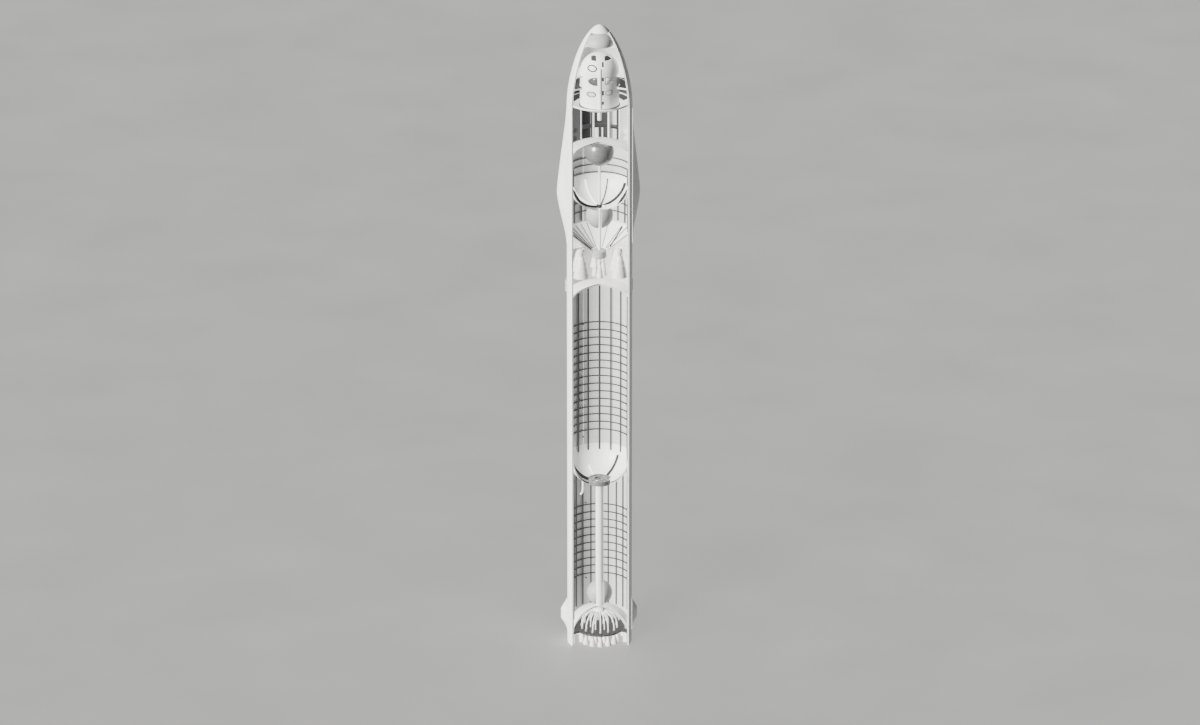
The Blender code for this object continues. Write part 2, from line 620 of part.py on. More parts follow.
def make_booster_engines():
    """The engine plate with the fixed engines, the steering engines and their feed pipes"""
    rim = [(FIT_R, CUT_START + CUT_SWEEP * i / HULL_STEPS) for i in range(HULL_STEPS + 1)]
    front = 360.0 - CUT_SWEEP
    rim += [(PLATE_FRONT_R, CUT_START + CUT_SWEEP + front * i / 14) for i in range(15)]
    shape = prism([[polar(r, a, z) for r, a in rim] for z in (PLATE_LOW, PLATE_HIGH)])
    base = add("engine_plate", shape, PALE, BOOSTER)
    places = [(MIDDLE_RING_R, 90.0 + 360.0 * i / MIDDLE_ENGINES) for i in range(MIDDLE_ENGINES)]
    places += [(OUTER_RING_R, 90.0 + OUTER_PITCH * i)
               for i in range(-OUTER_KEPT_EACH_SIDE, OUTER_KEPT_EACH_SIDE + 1)]
    length = PLATE_LOW - NOZZLE_END_Z
    bells = merged([placed(nozzle(NOZZLE_TOP_R, NOZZLE_EXIT_R, length, 8, 0.010),
                           Matrix.Translation(polar(r, a, PLATE_LOW))) for r, a in places])
    boolean(base, "fixed_nozzle_tool", bells, 'UNION')

    pivot_z = PLATE_LOW - GIMBAL_CLEAR - GIMBAL_R
    pivots = [Vector((0.0, 0.0, pivot_z))]
    pivots += [polar(INNER_RING_R, 360.0 * i / INNER_ENGINES, pivot_z) for i in range(INNER_ENGINES)]
    for number, pivot in enumerate(pivots):
        gimballed_engine(f"steering_engine_{number}", pivot, GIMBAL_R, NOZZLE_END_Z, BOOSTER)

    section = [(0.0, FEED_HUB_Z - 0.04), (FEED_HUB_R * 0.8, FEED_HUB_Z - 0.04)]
    section += arc(FEED_HUB_R, 0.055, FEED_HUB_Z, 3)
    manifold = add("feed_manifold", round_solid(section, 14), WHITE, BOOSTER)
    runs = ((0.072, 0.585), (0.150, 0.588), (0.250, 0.550), (0.325, 0.420), (MIDDLE_RING_R, PLATE_HIGH + GAP))
    pipes = []
    for i in range(MIDDLE_ENGINES):
        angle = 90.0 + 360.0 * i / MIDDLE_ENGINES
        pipes.append(pipe([polar(r, angle, z) for r, z in runs], FEED_PIPE_R, 6, True))
    boolean(manifold, "feed_pipe_tool", merged(pipes), 'UNION')


def make_ship_tanks():
    """The ship's domes, header tanks, pipes, rings, stringers and vanes"""
    crown = arc(FIT_R, OXYGEN_DOME_RISE, OXYGEN_DOME_Z)
    bowl = arc(FIT_R, -COMMON_DOME_DROP, COMMON_DOME_Z)
    dome("oxygen_top_dome", crown, DOME_WALL, WHITE, SHIP)
    dome("common_dome", bowl, -COMMON_DOME_WALL, WHITE, SHIP)
    section = header_tank(OXYGEN_BALL_R, OXYGEN_BALL_Z, 0.0, shifted(crown, -2 * GAP))
    add("oxygen_header_tank", round_solid(section, 24), GREY, SHIP)
    low = height_at(bowl, OXYGEN_PIPE_R) + 2 * GAP
    high = OXYGEN_BALL_Z - OXYGEN_BALL_R - GAP
    section = [(0.0, low), (OXYGEN_PIPE_R, low), (OXYGEN_PIPE_R, high), (0.0, high)]
    add("oxygen_downcomer", round_solid(section, 10), WHITE, SHIP)
    hub_r, bore = 0.050, OXYGEN_PIPE_R + GAP
    low = height_at(bowl, hub_r) + 3 * GAP
    section = [(bore, low), (hub_r, low), (hub_r, low + 0.060), (bore, low + 0.060)]
    vanes = add("oxygen_vanes", round_solid(section, 10), WHITE, SHIP)
    places = [(angle, VANE_OUT_R) for angle in evenly(**VANES)]
    shape = vane_set(bowl, COMMON_DOME_Z, 0.044, places, VANE_THICK)
    boolean(vanes, "oxygen_vane_tool", shape, 'UNION')
    shape = wall_lattice((-27.9, 207.9), OXYGEN_RINGS_Z, 9.010, 9.345, 0.020, None, 28)
    add("oxygen_tank_rings", shape, GREY, SHIP)

    shape = wall_lattice(evenly(**FUEL_BARS), FUEL_RINGS_Z, 8.120, 8.790, 0.032)
    add("fuel_tank_stringers", shape, GREY, SHIP)
    under = shifted(bowl, -COMMON_DOME_WALL - 6 * GAP)
    split_ball("fuel_header_tank", FUEL_BALL_R, FUEL_BALL_Z, FUEL_PIPE_R, under, SHIP)
    section = [(0.0, HUB_HIGH + GAP), (FUEL_PIPE_R, HUB_HIGH + GAP), (FUEL_PIPE_R, under[-1][1]),
               (0.0, under[-1][1])]
    add("fuel_downcomer", round_solid(section, BALL_STEPS), WHITE, SHIP)


def make_ship_engines():
    """The thrust cone, the hub, the fixed vacuum engines and the steering engines"""
    cone = [(FIT_R, CONE_RIM_Z), (HUB_R + GAP, CONE_HUB_Z), (HUB_R + GAP, CONE_HUB_Z - CONE_WALL),
            (FIT_R, CONE_RIM_Z - CONE_WALL)]
    add("thrust_cone", turned(cone), WHITE, SHIP)
    edge = HUB_R * math.cos(HALF_STEP) - GAP
    hub = [(0.0, HUB_LOW), (edge - 0.012, HUB_LOW), (edge, HUB_LOW + 0.020), (edge, HUB_HIGH - 0.015),
           (edge - 0.020, HUB_HIGH), (0.0, HUB_HIGH)]
    add("engine_hub", round_solid(hub, 28), PALE, SHIP)

    frame = [(VACUUM_RING_IN_R, VACUUM_RING_LOW), (FIT_R, VACUUM_RING_LOW),
             (FIT_R, VACUUM_RING_HIGH), (VACUUM_RING_IN_R, VACUUM_RING_HIGH)]
    ring = add("vacuum_engines", turned(frame), BELL, SHIP)
    top_z = VACUUM_RING_LOW - 0.030
    length = top_z - VACUUM_EXIT_Z
    bells = merged([placed(nozzle(VACUUM_TOP_R, VACUUM_EXIT_R, length, 16, 0.040),
                           Matrix.Translation(polar(VACUUM_RING_R, a, top_z)))
                    for a in evenly(**VACUUM_ENGINES)])
    boolean(ring, "vacuum_nozzle_tool", bells, 'UNION')

    pivot_z = HUB_LOW - GIMBAL_CLEAR - SHIP_GIMBAL_R
    for number, angle in enumerate((-90.0, 30.0, 150.0), 1):
        lean = Matrix.Rotation(math.radians(-SHIP_ENGINE_LEAN), 4, polar(1.0, angle + 90.0))
        pivot = polar(SHIP_ENGINE_RING_R, angle, pivot_z)
        gimballed_engine(f"centre_engine_{number}", pivot, SHIP_GIMBAL_R, SHIP_ENGINE_EXIT_Z, SHIP, lean)


def make_bay_and_cabin():
    """The cargo bay's ribs, the floor, the cabin and the decks about it"""
    under = [(FLOOR_R, FLOOR_RIM_LOW), (FLOOR_FLAT_R, FLOOR_LOW), (BAY_TUBE_R, FLOOR_LOW)]
    section = under + [(BAY_TUBE_R, BAY_TUBE_LOW), (0.0, BAY_TUBE_LOW), (0.0, FLOOR_LOW + FLOOR_WALL)]
    section += [(FLOOR_FLAT_R, FLOOR_LOW + FLOOR_WALL), (FLOOR_R, FLOOR_RIM_LOW + FLOOR_WALL)]
    add("cabin_floor", round_solid(section, 40), WHITE, SHIP)

    roof = shifted(arc(FIT_R, OXYGEN_DOME_RISE, OXYGEN_DOME_Z), DOME_WALL + 2 * GAP)
    wall_r = FIT_R * math.cos(HALF_STEP) - 0.001
    low = between(roof, RIB_IN_R, wall_r)
    top = [(r, height_at(under, r) - 2 * GAP) for r in (RIB_IN_R, FLOOR_R - 0.003)]
    section = low + top + [(wall_r, FLOOR_RIM_LOW - 0.050)]
    frame = [(BAY_RING_IN_R, BAY_RING_LOW), (FIT_R, BAY_RING_LOW), (FIT_R, BAY_RING_HIGH),
             (BAY_RING_IN_R, BAY_RING_HIGH)]
    bay = add("cargo_frame", turned(frame), WHITE, SHIP)
    ribs = merged([plate(section, angle, RIB_THICK) for angle in evenly(**RIBS)])
    boolean(bay, "bay_rib_tool", ribs, 'UNION')
    near, far = RIB_IN_R - 0.004, RIB_IN_R + 0.010
    section = [(near, height_at(roof, near) + 0.006), (far, height_at(roof, near) + 0.006),
               (far, height_at(under, near) - 0.004), (near, height_at(under, near) - 0.004)]
    flanges = merged([plate(section, angle, RIB_FLANGE) for angle in evenly(**RIBS)])
    boolean(bay, "bay_flange_tool", flanges, 'UNION')

    outer = [(CABIN_R, CABIN_LOW)] + arc(CABIN_R, CABIN_RISE, CABIN_SPRING_Z, 6)
    inner = [(CABIN_R - CABIN_WALL, CABIN_LOW)]
    inner += arc(CABIN_R - CABIN_WALL, CABIN_RISE - CABIN_WALL, CABIN_SPRING_Z, 6)
    cabin = add("cabin_shell", round_solid(outer + list(reversed(inner)), 28), WHITE, SHIP)
    boolean(cabin, "window_tool", merged([box(low, high) for low, high in WINDOWS]), 'DIFFERENCE')
    riser_y = -math.sqrt((CABIN_R + 2 * GAP + RISER_R) ** 2 - RISER_X ** 2)
    low = height_at([(FLOOR_R, FLOOR_RIM_LOW), (FLOOR_FLAT_R, FLOOR_LOW)], CABIN_R + 2 * RISER_R + 0.003)
    section = [(0.0, low + FLOOR_WALL + GAP), (RISER_R, low + FLOOR_WALL + GAP), (RISER_R, RISER_HIGH),
               (0.0, RISER_HIGH)]
    riser = placed(round_solid(section, 14), Matrix.Translation((RISER_X, riser_y, 0.0)))
    add("cabin_riser", riser, WHITE, SHIP)

    near = (CABIN_R + GAP) / math.cos(HALF_STEP)
    for name, height in RING_DECKS.items():
        edge = nose_inner_radius(height + RING_DECK_THICK) - 2 * GAP
        section = [(near, height), (edge, height), (edge, height + RING_DECK_THICK),
                   (near, height + RING_DECK_THICK)]
        add(name, turned(section), WHITE, SHIP)
    top = NOSE_DECK_Z + NOSE_DECK_THICK
    edge = nose_inner_radius(top) - 2 * GAP
    section = [(NOSE_DECK_IN_R, NOSE_DECK_Z), (edge, NOSE_DECK_Z), (edge, top), (NOSE_DECK_IN_R, top)]
    add("nose_deck", turned(section), WHITE, SHIP)
    section = [(0.0, top + GAP), (NOSE_DOME_R, top + GAP)] + arc(NOSE_DOME_R, NOSE_DOME_RISE, top + 0.012, 6)
    add("nose_bulkhead", round_solid(section, 24), GREY, SHIP)


make_hull()
make_grid_fins()
make_booster_tanks()
make_booster_engines()
make_ship_tanks()
make_ship_engines()
make_bay_and_cabin()
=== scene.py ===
"""Looks of the cutaway rocket model.

Metres, +Z up, the cutaway faces -Y. Angles are in degrees, counterclockwise from +X, seen from above.
Heights and radii follow the solids. Each piece is drawn by hand tools: a section is drawn point by point
and spun about the rocket's axis, an outline is drawn and extruded, or a primitive is reshaped.
"""
from math import cos, pi, radians, sin, sqrt

import bmesh
import bpy
from mathutils import Matrix, Vector


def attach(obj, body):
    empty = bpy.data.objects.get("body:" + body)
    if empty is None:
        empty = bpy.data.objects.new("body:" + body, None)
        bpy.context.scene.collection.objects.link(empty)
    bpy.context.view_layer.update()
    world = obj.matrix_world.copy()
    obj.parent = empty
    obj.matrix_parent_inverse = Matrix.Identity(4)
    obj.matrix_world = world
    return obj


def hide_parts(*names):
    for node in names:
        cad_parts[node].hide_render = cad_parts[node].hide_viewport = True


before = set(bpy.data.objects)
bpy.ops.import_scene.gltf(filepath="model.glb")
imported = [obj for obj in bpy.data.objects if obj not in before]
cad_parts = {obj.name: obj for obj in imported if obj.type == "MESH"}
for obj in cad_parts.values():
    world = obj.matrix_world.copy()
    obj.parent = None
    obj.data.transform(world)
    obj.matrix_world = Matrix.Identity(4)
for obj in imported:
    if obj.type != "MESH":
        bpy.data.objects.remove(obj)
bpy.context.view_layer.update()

# The cut, the skin and the nose
CUT_START, CUT_SWEEP = -29.0, 238.0
CUT_END = CUT_START + CUT_SWEEP
BODY_R, INNER_R = 0.600, 0.572
NOSE_Z, NOSE_LENGTH, CAP_Z = 10.50, 1.52, 11.89
FINE = 119

# What fits inside the skin: the domes' rims, and the backs of bars, rings and ribs
DOME_R, BACK_R, RIB_R = 0.5714, 0.5712, 0.5704

# The fairings: their back against the skin, how far they stand out and where they are widest
POD_BACK, POD_MIDDLE, POD_HALF = 0.6022, 30.0, 37.5
LEG_OUT, LEG_LOW, LEG_WIDEST, LEG_HIGH = 0.246, 7.85, 8.745, 10.43
BASE_OUT, BASE_LOW, BASE_HIGH = 0.134, 0.22, 0.82

# The booster's tube, plate and engines, and the ship's
TUBE_R, PLATE_LOW, PLATE_TOP = 0.0725, 0.231, 0.2605
BELL_R, VACUUM_R, VACUUM_RING = 0.0615, 0.1445, 0.405
PUMP_RINGS = (0.335, 0.500)
OUTER_PITCH = 17.143

# The bay, the cabin and the grid fins
BAY_FLOOR, BAY_RING = 9.600, 9.906
CABIN_R, CABIN_THICK, CABIN_FOOT, EAVES, CABIN_RISE = 0.355, 0.012, 10.4935, 11.130, 0.364
FLOOR_LOW, FLOOR_TOP, FLOOR_FLAT, FLOOR_EDGE, FLOOR_RISE = 10.456, 10.4897, 0.350, 0.5640, 0.0898
HINGE_R, HINGE_Z = 0.634, 7.09
TIPPED = (0.0, pi / 2, 0.0)
GREY, PALE = "grey_enamel", "pale_grey_primer"


# The hand tools

def clear_bench():
    """Leaves edit mode and lets go of everything"""
    if bpy.context.object is not None and bpy.context.object.mode != 'OBJECT':
        bpy.ops.object.mode_set(mode='OBJECT')
    bpy.ops.object.select_all(action='DESELECT')


def hold(pieces):
    """Selects pieces, the first of them active"""
    clear_bench()
    for piece in pieces:
        piece.select_set(True)
    bpy.context.view_layer.objects.active = pieces[0]


def named(name):
    """Names the piece in hand and its mesh"""
    piece = bpy.context.object
    piece.name = name
    piece.data.name = name
    return piece


def settle():
    """Applies the place, the turn and the size of the piece in hand"""
    bpy.ops.object.transform_apply(location=True, rotation=True, scale=True)


def edit():
    """Goes into edit mode"""
    bpy.ops.object.mode_set(mode='EDIT')


def select_all():
    """Selects everything in edit mode"""
    bpy.ops.mesh.select_all(action='SELECT')


def pull(away):
    """Extrudes what is selected"""
    bpy.ops.mesh.extrude_region_move(TRANSFORM_OT_translate={"value": away})


def spot(radius, angle, height=0.0):
    """The point at a radius and an angle about the rocket's axis"""
    turn = radians(angle)
    return Vector((radius * cos(turn), radius * sin(turn), height))


def row(first, pitch, count):
    """Evenly spaced values"""
    return [first + pitch * i for i in range(count)]


def start_at(point):
    """A plane primitive is collapsed to its middle, to draw from there by extruding"""
    clear_bench()
    bpy.ops.mesh.primitive_plane_add(size=0.01, location=point)
    edit()
    bpy.ops.mesh.select_mode(type='VERT')
    select_all()
    bpy.ops.mesh.merge(type='CENTER')


def draw(points):
    """Draws a line through points"""
    start_at(points[0])
    for here, there in zip(points, points[1:]):
        pull(there - here)
    select_all()


def weld(angle=32.0):
    """Closes seams and poles, turns faces outwards, applies the place and shades between creases"""
    select_all()
    bpy.ops.mesh.remove_doubles(threshold=1e-5)
    bpy.ops.mesh.normals_make_consistent(inside=False)
    bpy.ops.object.mode_set(mode='OBJECT')
    settle()
    bpy.ops.object.shade_smooth_by_angle(angle=radians(angle))


def spun(name, section, steps=FINE, start=CUT_START, sweep=CUT_SWEEP, centre=(0.0, 0.0)):
    """Spins a closed (radius, height) section; a part turn keeps flat ends, and a pole needs no closing"""
    middle = Vector((centre[0], centre[1], 0.0))
    draw([middle + spot(r, start, z) for r, z in section])
    if sweep < 360.0 or min(r for r, z in section) > 0.0:
        bpy.ops.mesh.edge_face_add()
    if sweep >= 360.0:
        bpy.ops.mesh.delete(type='ONLY_FACE')
        select_all()
    bpy.ops.mesh.spin(steps=steps, angle=-radians(sweep), center=middle, axis=(0, 0, 1))
    weld()
    return named(name)


def turned(name, section, steps, centre=(0.0, 0.0)):
    """Spins a (radius, height) section all the way round"""
    return spun(name, section, steps, 0.0, 360.0, centre)


def push_outline(name, outline, away):
    """Fills an outline and extrudes it"""
    draw(outline)
    bpy.ops.mesh.edge_face_add()
    pull(away)
    weld()
    return named(name)


def block(middle, size):
    """A box"""
    clear_bench()
    bpy.ops.mesh.primitive_cube_add(size=1.0, location=middle, scale=size)
    settle()
    return bpy.context.object


def rod(sides, radius, length, middle=(0.0, 0.0, 0.0), turn=(0.0, 0.0, 0.0)):
    """A straight rod with a number of sides"""
    clear_bench()
    bpy.ops.mesh.primitive_cylinder_add(vertices=sides, radius=radius, depth=length, location=middle,
                                        rotation=turn)
    settle()
    return bpy.context.object


def loft(name, rings, low, high):
    """Draws level outlines one above another, bridges them and closes both ends"""
    start_at(rings[0][0])
    here = rings[0][0]
    for number, ring in enumerate(rings):
        if number:
            bpy.ops.mesh.duplicate_move(TRANSFORM_OT_translate={"value": ring[0] - here})
            here = ring[0]
        for there in ring[1:] + ring[:1]:
            pull(there - here)
            here = there
    select_all()
    bpy.ops.mesh.remove_doubles(threshold=1e-6)
    bpy.ops.mesh.bridge_edge_loops()
    bpy.ops.object.mode_set(mode='OBJECT')
    settle()
    edit()
    piece = bpy.context.object
    for height in (low, high):
        bpy.ops.mesh.select_all(action='DESELECT')
        mesh = bmesh.from_edit_mesh(piece.data)
        for vert in mesh.verts:
            vert.select = abs(vert.co.z - height) < 1e-4
        mesh.select_flush(True)
        bmesh.update_edit_mesh(piece.data)
        bpy.ops.mesh.edge_face_add()
    weld(40.0)
    return named(name)


def ease_edges(piece, width, segments=2, angle=40.0):
    """Rounds a piece's sharp edges"""
    hold([piece])
    step = piece.modifiers.new("eased_edges", 'BEVEL')
    step.width = width
    step.segments = segments
    step.limit_method = 'ANGLE'
    step.angle_limit = radians(angle)
    step.harden_normals = True
    bpy.ops.object.modifier_apply(modifier=step.name)
    return piece


def cut_with(piece, cutter, operation='DIFFERENCE'):
    """Cuts a piece with another, or keeps what both share; the other is then thrown away"""
    hold([piece])
    step = piece.modifiers.new("cut", 'BOOLEAN')
    step.operation = operation
    step.object = cutter
    step.solver = 'EXACT'
    bpy.ops.object.modifier_apply(modifier=step.name)
    bpy.data.objects.remove(cutter)
    return piece


def one_piece(name, pieces):
    """Joins pieces into one"""
    hold(pieces)
    if len(pieces) > 1:
        bpy.ops.object.join()
    return named(name)


def copies(piece, places):
    """Copies a piece, each copy with its own mesh, moved by a matrix"""
    made = []
    for place in places:
        hold([piece])
        bpy.ops.object.duplicate(linked=False)
        copy = bpy.context.object
        copy.matrix_world = place @ piece.matrix_world
        settle()
        made.append(copy)
    bpy.data.objects.remove(piece)
    return made


def round_axis(angles):
    """Turns about the rocket's axis"""
    return [Matrix.Rotation(radians(angle), 4, 'Z') for angle in angles]


def sunk_core(piece, lip, depth=0.004):
    """Insets the cut faces of a shell and sinks their middle, like the core between two skins"""
    hold([piece])
    edit()
    bpy.ops.mesh.select_mode(type='FACE')
    bpy.ops.mesh.select_all(action='DESELECT')
    mesh = bmesh.from_edit_mesh(piece.data)
    ends = [spot(1.0, CUT_START - 90.0), spot(1.0, CUT_END + 90.0)]
    for face in mesh.faces:
        face.select = any(face.normal.dot(end) > 0.999 for end in ends)
    bmesh.update_edit_mesh(piece.data)
    bpy.ops.mesh.inset(thickness=lip, use_even_offset=True)
    bpy.ops.mesh.extrude_region_shrink_fatten(TRANSFORM_OT_shrink_fatten={"value": -depth})
    for face in bmesh.from_edit_mesh(piece.data).faces:
        if face.select:
            face.material_index = 1
    bmesh.update_edit_mesh(piece.data)
    bpy.ops.object.mode_set(mode='OBJECT')
    return piece


def shade_inside(piece):
    """Gives the faces that look at the rocket's axis the third finish, the grey painted shade inside the
    tanks
    """
    for face in piece.data.polygons:
        away = Vector((face.center.x, face.center.y, 0.0)).normalized()
        if face.normal.dot(away) < -0.8:
            face.material_index = 2
    return piece


def sweep_pipe(name, route, radius, sides=12):
    """A circle primitive is extruded along a route and turned at each bend"""
    clear_bench()
    first = route[1] - route[0]
    turn = first.to_track_quat('Z', 'Y').to_euler()
    bpy.ops.mesh.primitive_circle_add(vertices=sides, radius=radius, fill_type='NGON', location=route[0],
                                      rotation=turn)
    settle()
    edit()
    select_all()
    piece = bpy.context.object
    heading = first.normalized()
    for i in range(1, len(route)):
        pull(route[i] - route[i - 1])
        after = (route[min(i + 1, len(route) - 1)] - route[i - 1]).normalized()
        mesh = bmesh.from_edit_mesh(piece.data)
        ring = [vert for vert in mesh.verts if vert.select]
        bend = heading.rotation_difference(after).to_matrix().to_4x4()
        bmesh.ops.rotate(mesh, verts=ring, cent=route[i], matrix=bend)
        bmesh.update_edit_mesh(piece.data)
        heading = after
    weld(50.0)
    return named(name)


def bend_points(points, rounds=2):
    """Cuts the corners of a route, so that a pipe along it bends softly"""
    for _ in range(rounds):
        soft = [points[0]]
        for here, there in zip(points, points[1:]):
            soft += [here.lerp(there, 0.25), here.lerp(there, 0.75)]
        points = soft + [points[-1]]
    return points


def route(points, angle=0.0):
    """A soft route through (radius, height) points in one upright plane"""
    return bend_points([spot(r, angle, z) for r, z in points])


def box(near, far, low, high):
    """A rectangular section"""
    return [(near, low), (far, low), (far, high), (near, high)]


def tee(near, web_r, half, web, middle=0.0):
    """A T section, with its web's back against the wall"""
    side = [(near, -half), (web_r, -half), (web_r, -web), (BACK_R, -web)]
    return [(r, middle + z) for r, z in side + [(r, -z) for r, z in reversed(side)]]


def half_circle(radius, middle, points):
    """A ball's section, from its lowest point to its highest"""
    turns = [radians(-90.0 + 180.0 * i / points) for i in range(points + 1)]
    return [(radius * cos(t), middle + radius * sin(t)) for t in turns]


def arc(radius, rise, base_z, points=20):
    """A dome's section, from its rim to the axis"""
    turns = [pi / 2 * i / points for i in range(points)]
    return [(radius * cos(t), base_z + rise * sin(t)) for t in turns] + [(0.0, base_z + rise)]


def raised(points, rise):
    """The points, moved up"""
    return [(r, z + rise) for r, z in points]


def level(points, radius):
    """A section's height at a radius"""
    for (r0, z0), (r1, z1) in zip(points, points[1:]):
        if r1 <= radius <= r0:
            return z0 + (z1 - z0) * (r0 - radius) / (r0 - r1)
    return points[0][1]


def stretch(points, inner, outer):
    """The part of a section between two radii"""
    kept = [point for point in points if inner < point[0] < outer]
    return [(outer, level(points, outer))] + kept + [(inner, level(points, inner))]


# Finishes

def linear(hexcode):
    """An sRGB hex colour as linear values"""
    values = [int(hexcode[i:i + 2], 16) / 255.0 for i in (0, 2, 4)]
    return tuple(v / 12.92 if v <= 0.04045 else ((v + 0.055) / 1.055) ** 2.4 for v in values) + (1.0,)


def add_node(tree, kind, inputs=None, **settings):
    """Adds a node with its settings; an input takes a value or another node's socket"""
    made = tree.nodes.new(kind)
    for name, value in settings.items():
        setattr(made, name, value)
    for name, value in (inputs or {}).items():
        if isinstance(value, bpy.types.NodeSocket):
            tree.links.new(value, made.inputs[name])
        else:
            made.inputs[name].default_value = value
    return made


def sums(tree, operation, one, other):
    """The result of two values"""
    return add_node(tree, 'ShaderNodeMath', {0: one, 1: other}, operation=operation).outputs[0]


def mixed(tree, share, low, high):
    """A mix of two colours"""
    mix = add_node(tree, 'ShaderNodeMix', {"Factor": share, "A": low, "B": high}, data_type='RGBA')
    return mix.outputs["Result"]


def bumped(tree, height, strength, distance, **normal):
    """The normal of a relief"""
    relief = {"Height": height, "Strength": strength, "Distance": distance, **normal}
    return add_node(tree, 'ShaderNodeBump', relief).outputs["Normal"]


def mottled(tree, shader, place, light, dark, size_mm, rough_low, rough_high):
    """Slow variation of colour and gloss, with patches of a given size"""
    noise = add_node(tree, 'ShaderNodeTexNoise', {"Vector": place, "Scale": 1000.0 / size_mm, "Detail": 5.0})
    cloud = noise.outputs["Fac"]
    gloss = add_node(tree, 'ShaderNodeMapRange', {"Value": cloud, "From Min": 0.3, "From Max": 0.7,
                                                  "To Min": rough_low, "To Max": rough_high})
    tree.links.new(gloss.outputs["Result"], shader.inputs["Roughness"])
    return mixed(tree, cloud, linear(dark), linear(light))


def seams_across(tree, place, pitch_mm, width_mm, offset_mm=0.0):
    """1 on level seams a pitch apart, else 0"""
    height = add_node(tree, 'ShaderNodeSeparateXYZ', {"Vector": place}).outputs["Z"]
    near = sums(tree, 'PINGPONG', sums(tree, 'SUBTRACT', height, offset_mm / 1000.0), pitch_mm / 1000.0)
    return sums(tree, 'LESS_THAN', near, width_mm / 1000.0)


def seams_down(tree, place, count, share):
    """1 on upright seams round the rocket's axis, else 0"""
    apart = add_node(tree, 'ShaderNodeSeparateXYZ', {"Vector": place}).outputs
    turn = sums(tree, 'MULTIPLY', sums(tree, 'ARCTAN2', apart["Y"], apart["X"]), count / (2.0 * pi))
    return sums(tree, 'LESS_THAN', sums(tree, 'PINGPONG', turn, 0.5), share)


def seamed(tree, shader, place, tone, seams, dark, depth_mm, grain_mm=6.0):
    """Darkens the seams and raises them as weld beads, over a fine paint grain"""
    tree.links.new(mixed(tree, seams, tone, linear(dark)), shader.inputs["Base Color"])
    grain = add_node(tree, 'ShaderNodeTexNoise', {"Vector": place, "Scale": 1000.0 / grain_mm, "Detail": 3.0})
    fine = bumped(tree, grain.outputs["Fac"], 0.12, 0.0006)
    tree.links.new(bumped(tree, seams, 0.6, depth_mm / 1000.0, Normal=fine), shader.inputs["Normal"])


def coat(name, colour, gloss, patches, metallic=0.0, seams=None, relief=None, along=1.0):
    """A finish: even values on the shader, patches, and seams or a relief, perhaps drawn out along +Z"""
    finish = bpy.data.materials.new(name)
    finish.use_nodes = True
    tree = finish.node_tree
    shader = tree.nodes["Principled BSDF"]
    for socket, value in (("Base Color", linear(colour)), ("Roughness", gloss), ("Metallic", metallic)):
        shader.inputs[socket].default_value = value
    place = add_node(tree, 'ShaderNodeTexCoord').outputs["Object"]
    tone = mottled(tree, shader, place, *patches)
    if seams is not None:
        kinds, *rest = seams
        first, *second = [kind(tree, place, *values) for kind, *values in kinds]
        seamed(tree, shader, place, tone, sums(tree, 'MAXIMUM', first, *second) if second else first, *rest)
        return finish
    tree.links.new(tone, shader.inputs["Base Color"])
    if relief is not None:
        kind, output, inputs, settings, strength, distance = relief
        if along < 1.0:
            drawn_out = {"Vector": place, "Scale": (1.0, 1.0, along)}
            place = add_node(tree, 'ShaderNodeMapping', drawn_out).outputs["Vector"]
        source = add_node(tree, kind, {"Vector": place, **inputs}, **settings)
        tree.links.new(bumped(tree, source.outputs[output], strength, distance), shader.inputs["Normal"])
    return finish


# The skin's rings are 1.83 m tall on the real rocket; its domes are pressed in 16 gores
RINGS_MM, GORES = 91.5, 16

# White satin enamel on welded steel rings: soft sheen, thin level seams and fewer upright ones
SKIN = coat("satin_enamel_on_steel_rings", "E0E0DD", 0.42, ("E6E6E3", "DADAD7", 240.0, 0.36, 0.50),
            seams=(((seams_across, RINGS_MM, 1.6), (seams_down, 8, 0.0022)), "BCBCB8", 1.2))
# White enamel on pressed dome gores: an even satin coat, with the gores' upright weld seams
DOME = coat("enamel_on_pressed_gores", "DDDDDA", 0.45, ("E4E4E1", "D6D6D3", 160.0, 0.40, 0.56),
            seams=(((seams_down, GORES, 0.012),), "B4B4B0", 1.0))
# Dark primer on rolled stiffening bars, darker than grey primer: painted shade along the bars, under the
# rings and in the gaps of the thrust cone; matt, with a rolled grain along each bar
BARS_AND_SHADE = coat("primer_and_painted_shade_on_bars", "323231", 0.58, ("393938", "2A2A29", 70.0, 0.50, 0.68),
            relief=('ShaderNodeTexNoise', "Fac", {"Scale": 400.0}, {}, 0.2, 0.0005), along=0.05)
# Grey gloss enamel on a spun ball tank: wet-looking highlights over faint spinning rings
BALL = coat("gloss_enamel_on_spun_ball", "666665", 0.26, ("6F6F6E", "5C5C5B", 130.0, 0.20, 0.34), 0.10,
            seams=(((seams_across, 132.5, 1.4, 9598.0),), "4E4E4D", 0.8, 12.0))
# Grey primer on pressed and machined parts, and painted shade under the thrust dome: dull, with slow stains
# and a fine sprayed grain
PRIMER_AND_SHADE = coat("primer_and_painted_shade", "9C9C9A", 0.55, ("A5A5A3", "8E8E8B", 60.0, 0.48, 0.66),
              seams=(((seams_down, 6, 0.002),), "7E7E7C", 0.5, 4.0))
# Heat-proof enamel on engine bells: pale, stained a little brown, with fine level hoops
BELL = coat("heat_proof_enamel_on_bells", "DAD9D5", 0.38, ("E2E1DD", "C6C3BC", 45.0, 0.30, 0.48),
            seams=(((seams_across, 14.0, 1.1),), "B9B4AA", 0.8, 5.0))
# Cast aluminium grid fins: dull silver, lightly pitted, a little scorched
FIN = coat("sand_cast_aluminium", "C4C5C6", 0.46, ("CDCECF", "9F9D9A", 35.0, 0.38, 0.60), 0.85,
           relief=('ShaderNodeTexVoronoi', "Distance", {"Scale": 260.0}, {}, 0.25, 0.0006))
# Grey filler in the cut edges of the walls: dead matt, like sawn foam with a fine grain
CORE = coat("sawn_grey_core", "525250", 0.80, ("5E5E5C", "454543", 18.0, 0.70, 0.90))
